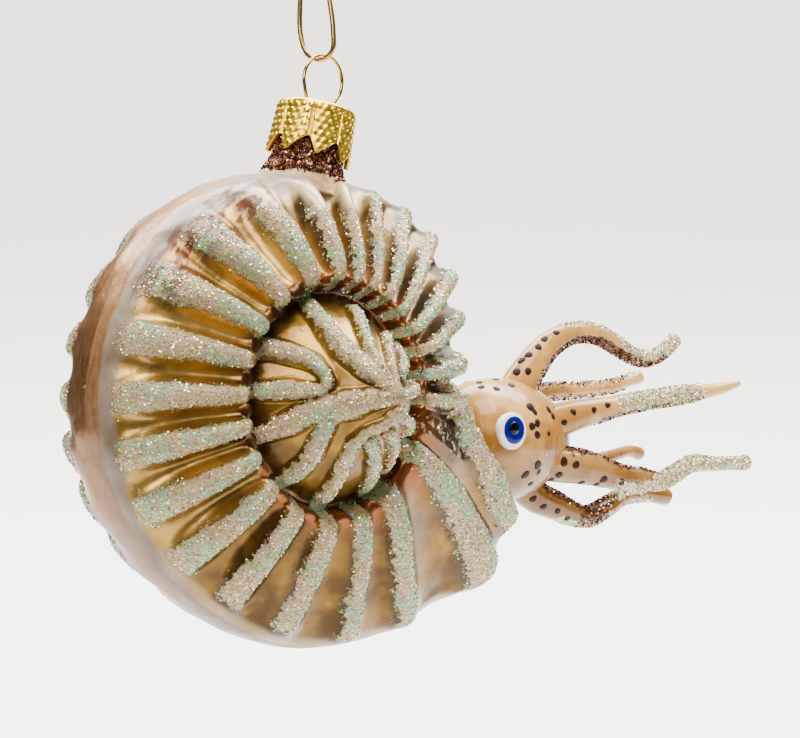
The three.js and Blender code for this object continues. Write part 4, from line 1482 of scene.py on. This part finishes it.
class ORNAMENT_OT_stage(bpy.types.Operator):
    """Sets the pale sweep, the soft lights and the camera"""

    bl_idname = "ornament.stage"
    bl_label = "Stage"

    def execute(self, context):
        s = settings_of(context).stage
        scene = context.scene
        target = np.array([8.4, -9.23, -87.92]) * MM
        angle = math.radians(-43)
        back = np.array([math.sin(angle), -math.cos(angle), 0.0])
        right = np.array([math.cos(angle), math.sin(angle), 0.0])

        camera = bpy.data.objects.new("camera", bpy.data.cameras.new("camera"))
        camera.data.sensor_width = 36
        camera.data.lens = s.lens
        camera.location = (target + back * s.reach).tolist()
        camera.rotation_euler = (math.radians(90), 0, angle)
        camera.data.clip_start, camera.data.clip_end = 0.01, 20
        scene.collection.objects.link(camera)
        scene.camera = camera

        # A painted sweep: floor, a wide curve and the wall behind, square to the camera.
        profile = [(-90, 0), (0, 0), (100, 0), (240, 0), (380, 0)]
        profile += [
            (380 + 320 * math.sin(a), 320 - 320 * math.cos(a)) for a in np.radians(range(6, 91, 6))
        ]
        profile += [(700, 600), (700, 1100), (700, 1800)]
        low = target.copy()
        low[2] = s.drop
        rows = []
        for depth, height in profile:
            for side in np.linspace(-300, 300, 9):
                rows.append(low / MM - back * depth + right * side + np.array([0, 0, height]))
        n = 9
        quads = [
            (i * n + j, i * n + j + 1, (i + 1) * n + j + 1, (i + 1) * n + j)
            for i in range(len(profile) - 1) for j in range(n - 1)
        ]
        # Painted shade: near white on the floor, greyer up the wall, for the light falling off up the
        # sweep.
        coats = [
            ("z", "z of", "where"),
            ("wall", "ease", "z", s.drop, s.drop + 0.12),
            ("colour", "mix", "wall", "#FAFAFA", "backdrop"),
        ]
        material, *_ = new_material(
            "backdrop_paint_and_shade", {"Roughness": 0.9}, (), coats, backdrop=rgba(s.backdrop)
        )
        sweep_sheet = make_object("backdrop", Surface(rows, quads, []), material)
        sweep_sheet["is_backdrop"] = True

        world = bpy.data.worlds.new("studio")
        world.use_nodes = True
        world.node_tree.nodes["Background"].inputs[0].default_value = (0.95, 0.97, 1.0, 1)
        world.node_tree.nodes["Background"].inputs[1].default_value = 0.2
        scene.world = world

        def softbox(name, place, aim, size, power, tint="#FFFFFF"):
            """A rectangular lamp; place and aim are right, back and up from the ornament."""
            light = bpy.data.lights.new(name, "AREA")
            light.shape = "RECTANGLE"
            light.size, light.size_y = size
            light.energy = power
            light.color = linear(tint)[:3]
            lamp = bpy.data.objects.new(name, light)
            spots = [
                target + (right * x + back * y + np.array([0, 0, z])) * MM
                for x, y, z in (place, aim)
            ]
            lamp.location = spots[0].tolist()
            lamp.rotation_euler = vector_euler(spots[1] - spots[0])
            scene.collection.objects.link(lamp)

        softbox("top_softbox", (60, 160, 480), (0, 0, 0), (0.4, 0.3), 6.0, "#FFFAF2")
        softbox("front_softbox", (-200, 600, 300), (0, 0, 0), (0.3, 0.3), 4.2, "#FFF6EA")
        softbox("floor_light", (0, -300, 520), (0, -330, -60), (1.1, 0.3), 22.5)
        softbox("wall_light", (0, -260, 640), (0, -700, 160), (1.1, 0.2), 6.0)
        return {"FINISHED"}


def vector_euler(direction):
    """Rotation that turns a lamp's -Z along a direction."""
    return Vector(direction.tolist()).to_track_quat("-Z", "Y").to_euler()


class ORNAMENT_PT_panel(bpy.types.Panel):
    """Lists the ornament's pieces"""

    bl_idname = "ORNAMENT_PT_panel"
    bl_label = "Glass Ammonite Ornament"
    bl_space_type = "VIEW_3D"
    bl_region_type = "UI"
    bl_category = "Ornament"

    def draw(self, context):
        for operator in OPERATORS:
            self.layout.operator(operator.bl_idname)


OPERATORS = [
    ORNAMENT_OT_stage, ORNAMENT_OT_shell, ORNAMENT_OT_head, ORNAMENT_OT_arms, ORNAMENT_OT_eyes,
    ORNAMENT_OT_glitter, ORNAMENT_OT_cap, ORNAMENT_OT_wires,
]
GROUPS = [
    ShellSettings, GlitterSettings, BodySettings, EyeSettings, MetalSettings, StageSettings,
    OrnamentSettings,
]


def register():
    for cls in GROUPS + OPERATORS + [ORNAMENT_PT_panel]:
        bpy.utils.register_class(cls)
    bpy.types.Scene.ornament = PointerProperty(type=OrnamentSettings)


def unregister():
    del bpy.types.Scene.ornament
    for cls in reversed(GROUPS + OPERATORS + [ORNAMENT_PT_panel]):
        bpy.utils.unregister_class(cls)


def main():
    register()
    for operator in OPERATORS:
        group, name = operator.bl_idname.split(".")
        getattr(getattr(bpy.ops, group), name)()
    boxes = {
        key: [list(corner) for corner in box]
        for key, box in (("cad", CAD_BOX), ("visual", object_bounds()))
    }


if __name__ == "__main__":
    main()
